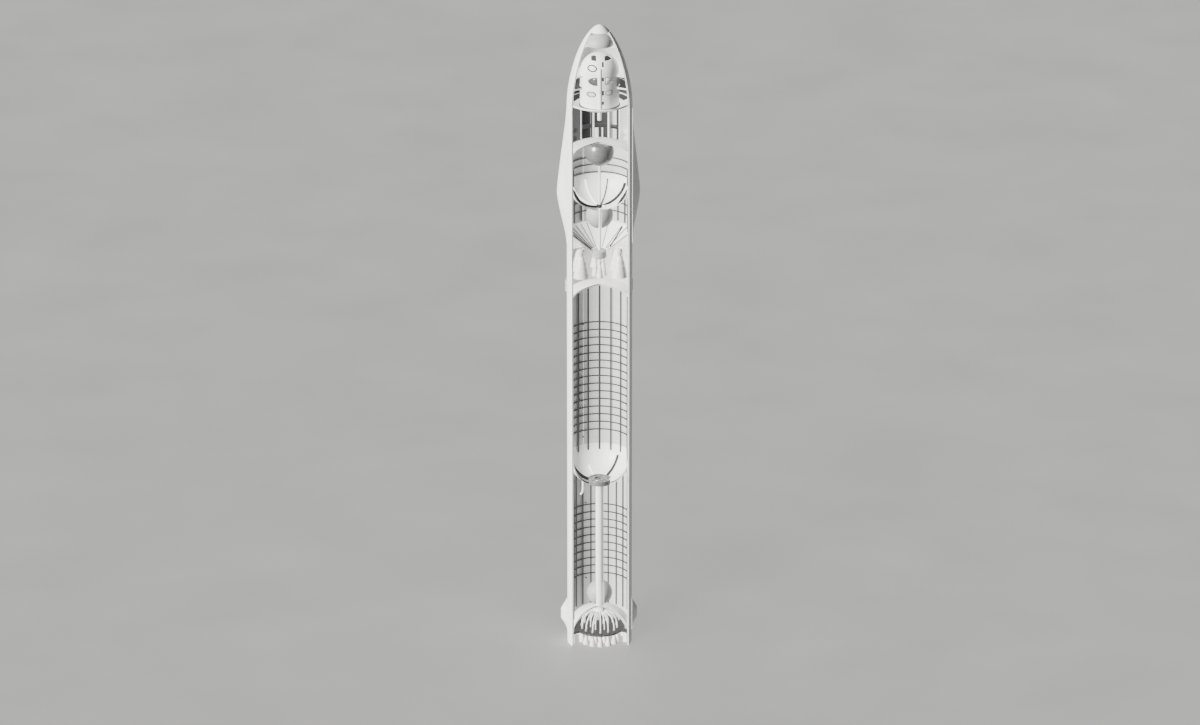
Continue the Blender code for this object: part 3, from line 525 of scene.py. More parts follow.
# Machined stainless steel bolts: bright, with fine turning marks
STEEL = coat("turned_stainless_steel", "B9BABC", 0.28, ("C3C4C6", "A4A5A6", 20.0, 0.20, 0.36), 1.0,
             relief=('ShaderNodeTexWave', "Fac", {"Scale": 300.0}, {"bands_direction": 'Z'}, 0.08, 0.0003))
# Black moulded rubber on seals and probes, and the dark ring painted as the shadow line at the cabin's foot:
# dull, nearly black, with a dusty bloom
RUBBER_AND_SHADOW = coat("black_rubber_and_painted_shadow", "2B2B2C", 0.70, ("343435", "1F1F20", 15.0, 0.60, 0.82))
# Painted shade in the windows: dark smoky grey panes standing in for the shaded inside of the cabin, very
# smooth, with a slight cloudiness
PANE_SHADE = coat("panes_painted_shade", "4A4B4C", 0.12, ("525354", "3F4041", 90.0, 0.08, 0.18))
# Painted shade on the vanes that face away from the key light: nearly black enamel, satin, with slow stains
VANE_SHADE = coat("painted_shade_on_vanes", "1E1E1D", 0.55, ("242423", "181817", 40.0, 0.48, 0.64))
# Painted shade on walls and decks: dark, dead matt panels standing in for the shade in the bay, round the
# cabin and behind its windows, with a short woven grain
SHADE_PANELS = coat("painted_shade_panels", "262627", 0.85, ("2E2E2F", "1F1F20", 30.0, 0.78, 0.94),
              relief=('ShaderNodeTexNoise', "Fac", {"Scale": 700.0, "Detail": 2.0}, {}, 0.3, 0.0004))
# Painted shade on the inside of the steel rings: grey, darker than the white outside, for the shade inside
# the tanks; matt, with the rings' level weld seams
INSIDE_SHADE = coat("painted_shade_inside_rings", "B2B2B0", 0.60, ("BABAB8", "A9A9A7", 200.0, 0.54, 0.68),
            seams=(((seams_across, RINGS_MM, 1.4),), "9E9E9C", 0.8, 8.0))


def dress(piece, body, node, *finishes, slot="white_enamel"):
    """Gives a piece its finishes, its body and the node that it stands for, if any; its slot is not used"""
    kept = [face.material_index for face in piece.data.polygons]
    piece.data.materials.clear()
    for finish in finishes:
        piece.data.materials.append(finish)
    for face, index in zip(piece.data.polygons, kept):
        face.material_index = min(index, len(finishes) - 1)
    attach(piece, body)
    if node:
        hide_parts(node)


# The skin and its fairings

def nose_r(height):
    """The nose's outer radius at a height"""
    share = (height - NOSE_Z) / NOSE_LENGTH
    return BODY_R * max(0.0, 1.0 - share ** 1.7) ** 0.6


def nose_in_r(height):
    """The nose's inner radius at a height"""
    return nose_r(height) - 0.028 + 0.008 * (height - NOSE_Z) / NOSE_LENGTH


def make_skins():
    """The straight lengths of skin, with a chamfer at each joint, and the nose with its tip"""
    lip, nose_lip, edge = 0.009, 0.007, 0.004
    for name, node, body, low, high in (("booster_skin", "booster_hull", "booster", 0.0, 6.90),
                                        ("interstage_skin", "interstage", "booster", 6.9003, 7.74),
                                        ("ship_skin", "ship_hull", "ship", 7.7403, 10.4997)):
        section = [(BODY_R - edge, low), (BODY_R, low + edge), (BODY_R, high - edge), (BODY_R - edge, high),
                   (INNER_R, high), (INNER_R, low)]
        dress(shade_inside(sunk_core(spun(name, section), lip)), body, node, SKIN, CORE, INSIDE_SHADE)
    heights = [NOSE_Z + (CAP_Z - NOSE_Z) * (i / 24) ** 0.8 for i in range(25)]
    section = [(nose_r(z), z) for z in heights] + [(nose_in_r(z), z) for z in reversed(heights)]
    piece = shade_inside(sunk_core(spun("nose_skin", section), nose_lip))
    dress(piece, "ship", "nose_shell", SKIN, CORE, INSIDE_SHADE)
    low = CAP_Z + 0.0003
    section = [(0.0, low), (nose_r(CAP_Z) - edge, low)]
    section += [(nose_r(z), z) for z in (11.894, 11.91, 11.93, 11.95, 11.97, 11.985, 12.0, 12.01, 12.016)]
    dress(turned("nose_tip", section + [(0.0, 12.02)], 96), "ship", "nose_cap", SKIN)


def leg_rise(height):
    """How far a leg pod stands out at a height"""
    if height >= LEG_WIDEST:
        share = (LEG_HIGH - height) / (LEG_HIGH - LEG_WIDEST)
        return LEG_OUT * (1.0 - (1.0 - share) ** 1.2)
    share = (LEG_WIDEST - height) / (LEG_WIDEST - LEG_LOW)
    return LEG_OUT * (1.0 - share ** 1.4)


def base_rise(height):
    """How far a base pod stands out at a height, with its slopes above and below"""
    if height > 0.58:
        share = (BASE_HIGH - height) / 0.24
    else:
        share = (height - BASE_LOW) / 0.18
    return BASE_OUT * min(1.0, share)


def swell(share, flat):
    """A pod's rise across its width, with the middle of it flat"""
    return cos(max(0.0, share - flat) / (1.0 - flat) * pi / 2) ** 2


def pod(name, heights, rise, flat):
    """A blended fairing on the skin, drawn on its right side as a stack of outlines"""
    rings = []
    across, rim = 28, 0.003
    shares = [2.0 * i / across - 1.0 for i in range(across + 1)]
    for height in heights:
        ring = [spot(POD_BACK + rim + rise(height) * swell(abs(share), flat),
                     POD_MIDDLE + share * POD_HALF, height) for share in shares]
        rings.append(ring + [spot(POD_BACK, POD_MIDDLE - share * POD_HALF, height) for share in shares])
    return loft(name, rings, heights[0], heights[-1])


def make_pods():
    """The leg pods on the ship and the base pods on the booster"""
    leg = [LEG_LOW, 7.88, 7.93, 8.0, 8.1, 8.22, 8.35, 8.48, 8.6, 8.70, 8.79, 8.9, 9.05, 9.25, 9.5, 9.75, 9.95,
           10.15, 10.32, LEG_HIGH]
    base = [BASE_LOW, 0.25, 0.30, 0.35, 0.385, 0.40, 0.42, 0.56, 0.58, 0.60, 0.65, 0.71, 0.77, BASE_HIGH]
    for kind, heights, rise, flat, body in (("leg", leg, leg_rise, 0.0, "ship"),
                                            ("base", base, base_rise, 0.35, "booster")):
        pair = copies(pod(kind + "_fairing", heights, rise, flat), round_axis((0.0, 120.0)))
        for piece, side in zip(pair, ("right", "left")):
            piece.name = kind + "_fairing_" + side
            dress(piece, body, kind + "_pod_" + side, SKIN)


# Tanks

def make_dome(node, name, body, points, wall, hole=0.0):
    """A dome against the skin, with a sunk core in its cut edge; the thrust dome is grey underneath, as
    painted shade under it
    """
    near = stretch(points, hole, DOME_R)
    piece = sunk_core(spun(name, near + raised(near, wall)[::-1]), 0.008, 0.003)
    # The faces that look down are painted grey as shade under the dome
    if node == "thrust_dome":
        for face in piece.data.polygons:
            if face.normal.z < -0.02 and face.material_index == 0:
                face.material_index = 2
    dress(piece, body, node, DOME, CORE, PRIMER_AND_SHADE)


def wall_frame(name, node, body, bars, bar_low, bar_high, bar_width, rings, foot=None):
    """Upright T bars and T rings on the tank's wall; each kind is drawn once and copied"""
    half = bar_width / 2
    plan = tee(0.5460, 0.5510, half, 0.005)
    bar = push_outline("bar", [Vector((x, y, bar_low)) for x, y in plan], Vector((0, 0, bar_high - bar_low)))
    parts = copies(ease_edges(bar, 0.0015, 1), round_axis(bars))
    if foot is not None:
        plan = [Vector((x, y, foot)) for x, y in box(0.5462, 0.5508, -half, half)]
        toe = push_outline("toe", plan, Vector((0, 0, bar_low + 0.004 - foot)))
        parts += copies(toe, round_axis(bars))
    ring = spun("ring", tee(0.5475, 0.5520, 0.012, 0.004, rings[0]), 84, bars[0], bars[-1] - bars[0])
    parts += copies(ring, [Matrix.Translation((0, 0, z - rings[0])) for z in rings])
    dress(one_piece(name, parts), body, node, BARS_AND_SHADE)


def split_ball(name, node, body, radius, middle, bore, roof=lambda r: 99.0):
    """A ball tank about a pipe and under a roof, with a straight slot at its front as wide as the pipe"""
    reach = sqrt(radius ** 2 - bore ** 2)
    section = [(bore, middle - reach)]
    circle = half_circle(radius, middle, 36)
    section += [(r, z) for r, z in circle if r > bore + 0.001 and z < roof(r) - 0.001]
    if roof(bore) > middle + reach:
        section.append((bore, middle + reach))
    else:
        edge = section[-1][0]
        section += [(edge - (edge - bore) * i / 8, roof(edge - (edge - bore) * i / 8)) for i in range(9)]
    ball = turned(name, section, 90)
    tool = block((0.0, -0.2005, middle), (2 * bore - 0.0004, 0.4, 0.7))
    dress(ease_edges(cut_with(ball, tool), 0.002), body, node, PRIMER_AND_SHADE, slot=PALE)


def radial_plate(name, section, thick):
    """An upright plate of a (radius, height) section, towards +X"""
    side = spot(thick / 2, 90.0)
    return push_outline(name, [spot(r, 0.0, z) - side for r, z in section], spot(thick, 90.0))


def vanes(name, bowl, inner, outer, angles, thick=0.012, height=0.055):
    """Upright vanes that follow a bowl, drawn once and copied"""
    edge = stretch(bowl, inner, outer)
    rim = bowl[0][1]
    near, far = 0.9945, 0.9945 - height / 0.5716
    section = [(r * near, rim + (z - rim) * near) for r, z in edge]
    section += [(r * far, rim + (z - rim) * far) for r, z in reversed(edge)]
    plate = ease_edges(radial_plate(name, section, thick), 0.002, 1)
    return one_piece(name, copies(plate, round_axis(angles)))


TOP = arc(DOME_R, 0.164, 6.860)
BOWL = arc(DOME_R, -0.560, 3.720)
THRUST = arc(DOME_R, 0.410, PLATE_TOP)
CROWN = arc(DOME_R, 0.163, BAY_FLOOR)
COMMON = arc(DOME_R, -0.475, 9.000)


def make_booster_tanks():
    """The booster's domes, frames, sump, tube, ball tank and vent"""
    make_dome("booster_top_dome", "top_dome_skin", "booster", TOP, 0.030)
    make_dome("mid_dome", "mid_dome_skin", "booster", BOWL, -0.050, 0.2206)
    make_dome("thrust_dome", "thrust_dome_skin", "booster", THRUST, 0.030)
    wall_frame("upper_tank_frames", "upper_tank_stringers", "booster", row(-26.0, 22.5, 11), 3.722, 6.846,
               0.0356, row(4.002, 0.151, 15), 3.600)
    wall_frame("lower_tank_frames", "lower_tank_stringers", "booster", row(-16.36, 17.143, 14), 0.522, 3.448,
               0.028, row(1.136, 0.1533, 10))

    drum = [(0.0, 3.136), (0.190, 3.136), (0.216, 3.145), (0.2185, 3.160), (0.2185, 3.226), (0.215, 3.234),
            (0.200, 3.234), (0.196, 3.222), (0.120, 3.222), (0.116, 3.230), (0.100, 3.230), (0.096, 3.200),
            (0.0, 3.200)]
    sump = turned("sump_bowl", drum, 72)
    holes = copies(rod(20, 0.020, 0.06, (0.158, 0.0, 3.222)), round_axis(row(0.0, 36.0, 10)))
    sump = cut_with(sump, one_piece("sump_holes", holes))
    dress(sump, "booster", "sump_drum", BALL, slot=GREY)
    # Two sump vanes face away from the key light and are painted dark as shade; the other two are white
    for name, outer, angles, finish in (("sump_vanes_painted_shade", 0.540, (45.0, 185.0), VANE_SHADE),
                                        ("pale_sump_vanes", 0.430, (-25.0, 115.0), DOME)):
        dress(vanes(name, BOWL, 0.2160, outer, angles, 0.019), "booster", "", finish, slot=GREY)

    low, high, groove = THRUST[-1][1] + 0.0306, 3.1344, TUBE_R - 0.0025
    tube = [(0.0, low), (TUBE_R, low)]
    for z in (1.30, 1.90, 2.50):
        tube += [(TUBE_R, z), (groove, z + 0.003), (groove, z + 0.009), (TUBE_R, z + 0.012)]
    tube += [(TUBE_R, high), (0.0, high)]
    dress(turned("transfer_pipe", tube, 48), "booster", "transfer_tube", DOME)
    split_ball("lower_ball_tank", "lower_header_tank", "booster", 0.236, 0.960, 0.0735)
    top = level(BOWL, 0.376) - 0.052
    hook = route(((0.400, top), (0.400, 2.960), (0.404, 2.880), (0.430, 2.830), (0.455, 2.802)), 136.5)
    dress(sweep_pipe("hooked_vent", hook, 0.0235, 20), "booster", "vent_pipe", DOME)


def bell_section(top, throat, exit_r, length, start):
    """A bell's section, hollow from its lip, hanging from a height of 0"""
    wall = 0.0035
    throat_z = -start - (length - start) * 0.16
    chamber = [(0.0, 0.0), (top, 0.0), (top, -start * 0.9), (top * 0.96, -start), (throat, throat_z)]
    outside = [(throat + (exit_r - throat) * (i / 14) ** 0.62, throat_z - (length + throat_z) * i / 14)
               for i in range(1, 14)]
    inside = [(r - wall, z) for r, z in reversed(outside)]
    lip = [(exit_r, -length), (exit_r - wall, -length)]
    return chamber + outside + lip + inside + [(0.0, inside[-1][1] + 0.004)]


def ball_top(radius, points=8):
    """A gimbal ball's section from its pole to its neck"""
    turns = [radians(90.0 - 140.0 * i / points) for i in range(points + 1)]
    return [(radius * cos(t), radius * sin(t)) for t in turns]


def steering_engine(name, node, body, pivot, ball_r, exit_z, lean=None):
    """A steering engine on its ball, drawn at the joint"""
    bell = bell_section(0.028, 0.017, BELL_R, pivot.z - exit_z, 0.055)
    section = ball_top(ball_r) + [(0.013, -0.022), (0.028, -0.030)] + bell[2:]
    piece = turned(name, [(max(r, 0.0), z) for r, z in section], 32)
    hold([piece])
    piece.matrix_world = Matrix.Translation(pivot) @ (lean or Matrix.Identity(4))
    settle()
    dress(piece, body, node, BELL, slot="bell_enamel")


def make_booster_engines():
    """The engine plate with its fixed bells, the steering engines, the feed pipes and the pumps"""
    outline = [spot(DOME_R, CUT_START + CUT_SWEEP * i / 84, PLATE_LOW) for i in range(85)]
    outline += [spot(0.440, CUT_END + (360.0 - CUT_SWEEP) * i / 40, PLATE_LOW) for i in range(41)]
    plate = ease_edges(push_outline("thrust_plate", outline, Vector((0, 0, 0.028))), 0.003)
    bell = [(r, z + PLATE_LOW - 0.0005) for r, z in bell_section(0.030, 0.019, BELL_R, 0.2225, 0.045)]
    inner, outer = row(90.0, 360.0 / 14, 14), row(90.0 - 6 * OUTER_PITCH, OUTER_PITCH, 13)
    places = [Matrix.Translation(spot(PUMP_RINGS[0], a)) for a in inner]
    places += [Matrix.Translation(spot(PUMP_RINGS[1], a)) for a in outer]
    bells = copies(turned("fixed_bell", bell, 28), places)
    dress(plate, "booster", "", BARS_AND_SHADE, slot=GREY)
    dress(one_piece("fixed_bells", bells), "booster", "engine_plate", BELL, slot=PALE)

    ball_r = 0.018
    pivot_z = PLATE_LOW - 0.0015 - ball_r
    pivots = [Vector((0.0, 0.0, pivot_z))] + [spot(0.165, 60.0 * i, pivot_z) for i in range(6)]
    for number, pivot in enumerate(pivots):
        steering_engine(f"steering_bell_{number}", f"steering_engine_{number}", f"engine_{number}", pivot,
                        ball_r, 0.008)

    hub = [(0.0, 0.556), (0.070, 0.556), (0.080, 0.562), (0.092, 0.585), (0.099, 0.595), (0.096, 0.612),
           (0.080, 0.630), (0.050, 0.643), (0.020, 0.649), (0.0, 0.650)]
    parts = [turned("feed_hub", hub, 56)]
    run = route(((0.072, 0.585), (0.150, 0.588), (0.250, 0.550), (0.325, 0.420), (PUMP_RINGS[0], PLATE_TOP)))
    parts += copies(sweep_pipe("feed_pipe", run, 0.0138, 14), round_axis(inner))
    dress(one_piece("feed_pipes", parts), "booster", "feed_manifold", DOME)
    run = route(((0.090, 0.600), (0.300, 0.560), (0.430, 0.430), (PUMP_RINGS[1], 0.300)))
    lines = copies(sweep_pipe("outer_feed", run, 0.0095, 12), round_axis(outer))
    run = route(((0.055, 0.575), (0.130, 0.520), (0.165, 0.400), (0.165, PLATE_TOP)))
    lines += copies(sweep_pipe("inner_feed", run, 0.012, 14), round_axis(row(0.0, 60.0, 6)))
    dress(one_piece("side_feed_pipes", lines), "booster", "", DOME)
    pump = [(0.0, PLATE_TOP), (0.019, PLATE_TOP), (0.023, 0.266), (0.023, 0.296), (0.017, 0.306),
            (0.0, 0.308)]
    pumps = copies(turned("pump", pump, 24), places)
    dress(one_piece("feed_pumps", pumps), "booster", "", PRIMER_AND_SHADE, slot=PALE)


def make_ship_tanks():
    """The ship's domes, ball tanks, pipes, rings, frames and vanes"""
    make_dome("oxygen_top_dome", "oxygen_crown", "ship", CROWN, 0.030)
    make_dome("common_dome", "shared_dome", "ship", COMMON, -0.020)
    ball = [(0.0, 9.333)] + half_circle(0.265, 9.598, 48)[1:]
    ball = [p for p in ball if p[1] < level(CROWN, max(p[0], 0.0)) - 0.002]
    edge = ball[-1][0]
    ball += [(edge * (1.0 - i / 8), level(CROWN, edge * (1.0 - i / 8)) - 0.001) for i in range(9)]
    dress(turned("oxygen_ball_tank", ball, 96), "ship", "oxygen_header_tank", BALL, slot=GREY)

    pipe_r = 0.0215
    low = level(COMMON, pipe_r + 0.0005) + 0.001
    pipe = [(0.0, low), (pipe_r, low), (pipe_r, 9.10), (0.0200, 9.103), (0.0200, 9.107), (pipe_r, 9.11),
            (pipe_r, 9.3325), (0.0, 9.3325)]
    dress(turned("oxygen_pipe", pipe, 32), "ship", "oxygen_downcomer", DOME)
    low = level(COMMON, 0.050) + 0.001
    collar = [(0.0224, low), (0.046, low), (0.050, low + 0.004), (0.050, low + 0.056), (0.046, low + 0.060),
              (0.0224, low + 0.060)]
    # The collar and the three vanes that face away from the key light are painted dark as shade; the other
    # three vanes are white
    hub = turned("vane_collar", collar, 40)
    plates = vanes("vane_plates", COMMON, 0.044, 0.560, (25.5, 70.5, 205.5))
    dress(one_piece("dome_vanes_painted_shade", [hub, plates]), "ship", "oxygen_vanes", VANE_SHADE, slot=GREY)
    dress(vanes("pale_dome_vanes", COMMON, 0.044, 0.560, (-19.5, 115.5, 160.5)), "ship", "", DOME)
    wall_frame("oxygen_wall_rings", "oxygen_tank_rings", "ship", [-27.9, 207.9], 9.012, 9.343, 0.018,
               [9.031, 9.178, 9.318])
    wall_frame("fuel_tank_frames", "fuel_tank_stringers", "ship", row(-26.0, 18.75, 13), 8.122, 8.788, 0.030,
               [8.301, 8.480])
    under = raised(COMMON, -0.0225)
    split_ball("fuel_ball_tank", "fuel_header_tank", "ship", 0.248, 8.384, 0.0284, lambda r: level(under, r))
    low, high = 7.7105, under[-1][1] - 0.001
    pipe = [(0.0, low), (0.0275, low), (0.0275, high), (0.0, high)]
    dress(turned("fuel_pipe", pipe, 32), "ship", "fuel_downcomer", DOME)


def make_ship_engines():
    """The thrust cone with its ribs, the hub, the vacuum bells and the steering engines"""
    cone = [(DOME_R, 8.085), (0.1306, 7.690), (0.1306, 7.668), (DOME_R, 8.063)]
    shell = sunk_core(spun("thrust_cone_shell", cone), 0.006, 0.003)
    dress(shell, "ship", "thrust_cone", DOME, CORE)
    # The cone's ribs and its strut are dark: painted shade for the dark lines between the cone's panels
    rib = [(0.545, 8.062), (0.545, 8.080), (0.150, 7.726), (0.150, 7.708)]
    angles = (-22.0, 20.0, 36.0, 69.0, 90.0, 112.0, 126.0, 140.0, 154.0, 168.0, 182.0, 196.0)
    ribs = copies(ease_edges(radial_plate("cone_rib", rib, 0.008), 0.001, 1), round_axis(angles))
    ends = [Vector((0.430, 0.250, 8.055)), Vector((0.190, -0.075, 7.795))]
    strut = sweep_pipe("cone_strut", ends, 0.013, 14)
    dress(one_piece("thrust_cone_ribs", ribs + [strut]), "ship", "", BARS_AND_SHADE, slot=GREY)
    hub = [(0.0, 7.5605), (0.108, 7.5605), (0.116, 7.566), (0.129, 7.580), (0.129, 7.694), (0.122, 7.704),
           (0.110, 7.7097), (0.0, 7.7097)]
    dress(turned("engine_hub_turned", hub, 72), "ship", "engine_hub", PRIMER_AND_SHADE, slot=PALE)

    ring = ease_edges(spun("bell_carrier", box(0.345, DOME_R, 7.801, 7.829)), 0.003)
    section = [(r, z + 7.805) for r, z in bell_section(0.058, 0.034, VACUUM_R, 0.553, 0.075)]
    parts = [turned("vacuum_bell", section, 56)]
    for z, r in ((7.36, 0.1268), (7.47, 0.1065), (7.57, 0.0845)):
        inner, outer = r - 0.006, r + 0.003
        hoop = [(inner, z - 0.005), (outer, z - 0.004), (outer, z + 0.004), (inner, z + 0.005)]
        parts.append(turned("bell_hoop", hoop, 56))
    places = [Matrix.Translation(spot(VACUUM_RING, angle)) for angle in row(-30.0, 60.0, 5)]
    bells = copies(one_piece("vacuum_bell_hooped", parts), places)
    dress(one_piece("vacuum_bells", [ring] + bells), "ship", "vacuum_engines", BELL, slot="bell_enamel")

    ball_r = 0.020
    pivot_z = 7.560 - 0.0005 - ball_r
    for number, angle in enumerate((-90.0, 30.0, 150.0), 1):
        lean = Matrix.Rotation(radians(-3.0), 4, spot(1.0, angle + 90.0))
        steering_engine(f"centre_bell_{number}", f"centre_engine_{number}", f"ship_engine_{number}",
                        spot(0.075, angle, pivot_z), ball_r, 7.200, lean)


# Bay and cabin

FLOOR_UNDER = [(0.5645, 10.545), (FLOOR_FLAT, 10.455), (0.039, 10.455)]
ROOF = raised(CROWN, 0.031)


def cabin_r(height):
    """The cabin's outer radius at a height"""
    share = max(0.0, height - EAVES) / CABIN_RISE
    return CABIN_R * sqrt(max(0.0, 1.0 - share ** 2))


def cabin_front(x, height):
    """A point on the front of the cabin"""
    return Vector((x, -sqrt(cabin_r(height) ** 2 - x ** 2), height))


def wall_shade_panel(low, high, start, end):
    """A thin dark panel of painted shade on the inside of the skin between two heights and two angles"""
    heights = [low + (high - low) * i / 6 for i in range(7)]
    radii = [INNER_R if z < NOSE_Z else nose_in_r(z) for z in heights]
    section = [(r - 0.0010, z) for r, z in zip(radii, heights)]
    section += [(r - 0.0050, z) for r, z in reversed(list(zip(radii, heights)))]
    return spun("shade_panel_piece", section, max(4, round((end - start) / 2)), start, end - start)


def make_bay():
    """The cargo bay's ribs with their flanges, their ring, the rails behind them and dark panels of painted
    shade on the wall between the ribs
    """
    rib_in, thick = 0.400, 0.018
    low = stretch(ROOF, rib_in, RIB_R)
    top = [(r, level(FLOOR_UNDER, r) - 0.001) for r in (rib_in, 0.5615)] + [(RIB_R, 10.495)]
    web = ease_edges(radial_plate("rib_web", low + top, thick), 0.002, 1)
    near, far = 0.397, 0.409
    section = box(near, far, level(ROOF, near) + 0.006, level(FLOOR_UNDER, near) - 0.004)
    flange = ease_edges(radial_plate("rib_flange", section, 0.031), 0.003)
    webs = copies(web, round_axis((102.5, 142.5, 22.5, 62.5)))
    # The two left rib webs face away from the key light and are painted dark as shade; the right two stay
    # white
    dress(one_piece("left_rib_webs_painted_shade", webs[:2]), "ship", "", SHADE_PANELS)
    ribs = copies(flange, round_axis(row(22.5, 40.0, 4))) + webs[2:]

    ring_in, ring_split, z = 0.480, 24.0, BAY_RING
    section = [(ring_in, z), (BACK_R, z), (BACK_R, z + 0.048), (ring_in, z + 0.048), (ring_in, z + 0.039),
               (0.560, z + 0.039), (0.560, z + 0.009), (ring_in, z + 0.009)]
    # One ring in two finishes: its back is dark as painted shade, its side by the cut, where the light falls,
    # is white
    dark = spun("bay_ring_back_painted_shade", section, 92, ring_split, CUT_END - ring_split)
    dress(dark, "ship", "", BARS_AND_SHADE, slot=GREY)
    ribs.append(spun("bay_ring_side", section, 26, CUT_START, ring_split - CUT_START - 0.1))
    dress(one_piece("cargo_bay_frame", ribs), "ship", "cargo_frame", DOME)

    rails = [ease_edges(block((x, y, 9.795), (width, 0.030, 0.210)), 0.004)
             for x, width, y in ((-0.022, 0.068, 0.548), (0.085, 0.024, 0.546), (-0.084, 0.052, 0.538))]
    # The left rail is painted dark as shade; the other two rails are white
    dress(one_piece("bay_rail_painted_shade", [rails.pop()]), "ship", "", BARS_AND_SHADE, slot=GREY)
    dress(one_piece("bay_back_rails", rails), "ship", "", DOME, slot=PALE)
    # Dark panels between the ribs: painted shade on the bay's wall
    panels = [wall_shade_panel(low, high, start, end) for low, high in ((9.660, 9.904), (9.956, 10.490))
              for start, end in ((24.0, 53.5), (64.0, 101.0), (104.0, 141.0), (144.0, 208.0))]
    dress(one_piece("bay_shade_panels", panels), "ship", "", SHADE_PANELS, slot=GREY)


# The windows, as (x, height) seen from the front
SMALL_WINDOWS = (((-0.163, 11.394), (-0.071, 11.465)), ((0.078, 11.391), (0.207, 11.456)),
                 ((0.023, 11.300), (0.060, 11.385)), ((0.023, 11.042), (0.060, 11.120)),
                 ((0.023, 10.775), (0.060, 10.872)), ((0.023, 10.600), (0.060, 10.668)))
LEFT_WINDOW = ((-0.058, 11.120), (-0.058, 10.959), (-0.130, 10.963), (-0.190, 10.985), (-0.222, 11.015),
               (-0.229, 11.040), (-0.222, 11.062), (-0.190, 11.093), (-0.130, 11.115))
RIGHT_WINDOW = ((0.078, 11.120), (0.150, 11.112), (0.205, 11.090), (0.225, 11.060), (0.225, 11.020),
                (0.205, 10.992), (0.150, 10.981), (0.078, 10.979))
TOOL_Y, TOOL_DEPTH = Vector((0.0, -0.45, 0.0)), Vector((0.0, 0.35, 0.0))


def cabin_panel(name, outline, shrink, inner_r, outer_r):
    """A curved panel behind a window: what an outline that is pushed shares with a ring of wall"""
    middle = Vector((sum(x for x, z in outline), 0.0, sum(z for x, z in outline))) / len(outline)
    points = [middle + (Vector((x, 0.0, z)) - middle) * shrink + TOOL_Y for x, z in outline]
    panel = push_outline(name, points, TOOL_DEPTH)
    return cut_with(panel, turned("panel_ring", box(inner_r, outer_r, 10.93, EAVES - 0.001), 96), 'INTERSECT')


def oval(x, z, half_x, half_z, thick):
    """A raised oval moulding on the cabin's front"""
    turns = [2.0 * pi * i / 40 for i in range(41)]
    ring = [cabin_front(x + half_x * cos(t), z + half_z * sin(t)) for t in turns]
    return sweep_pipe("oval", ring, thick, 8)


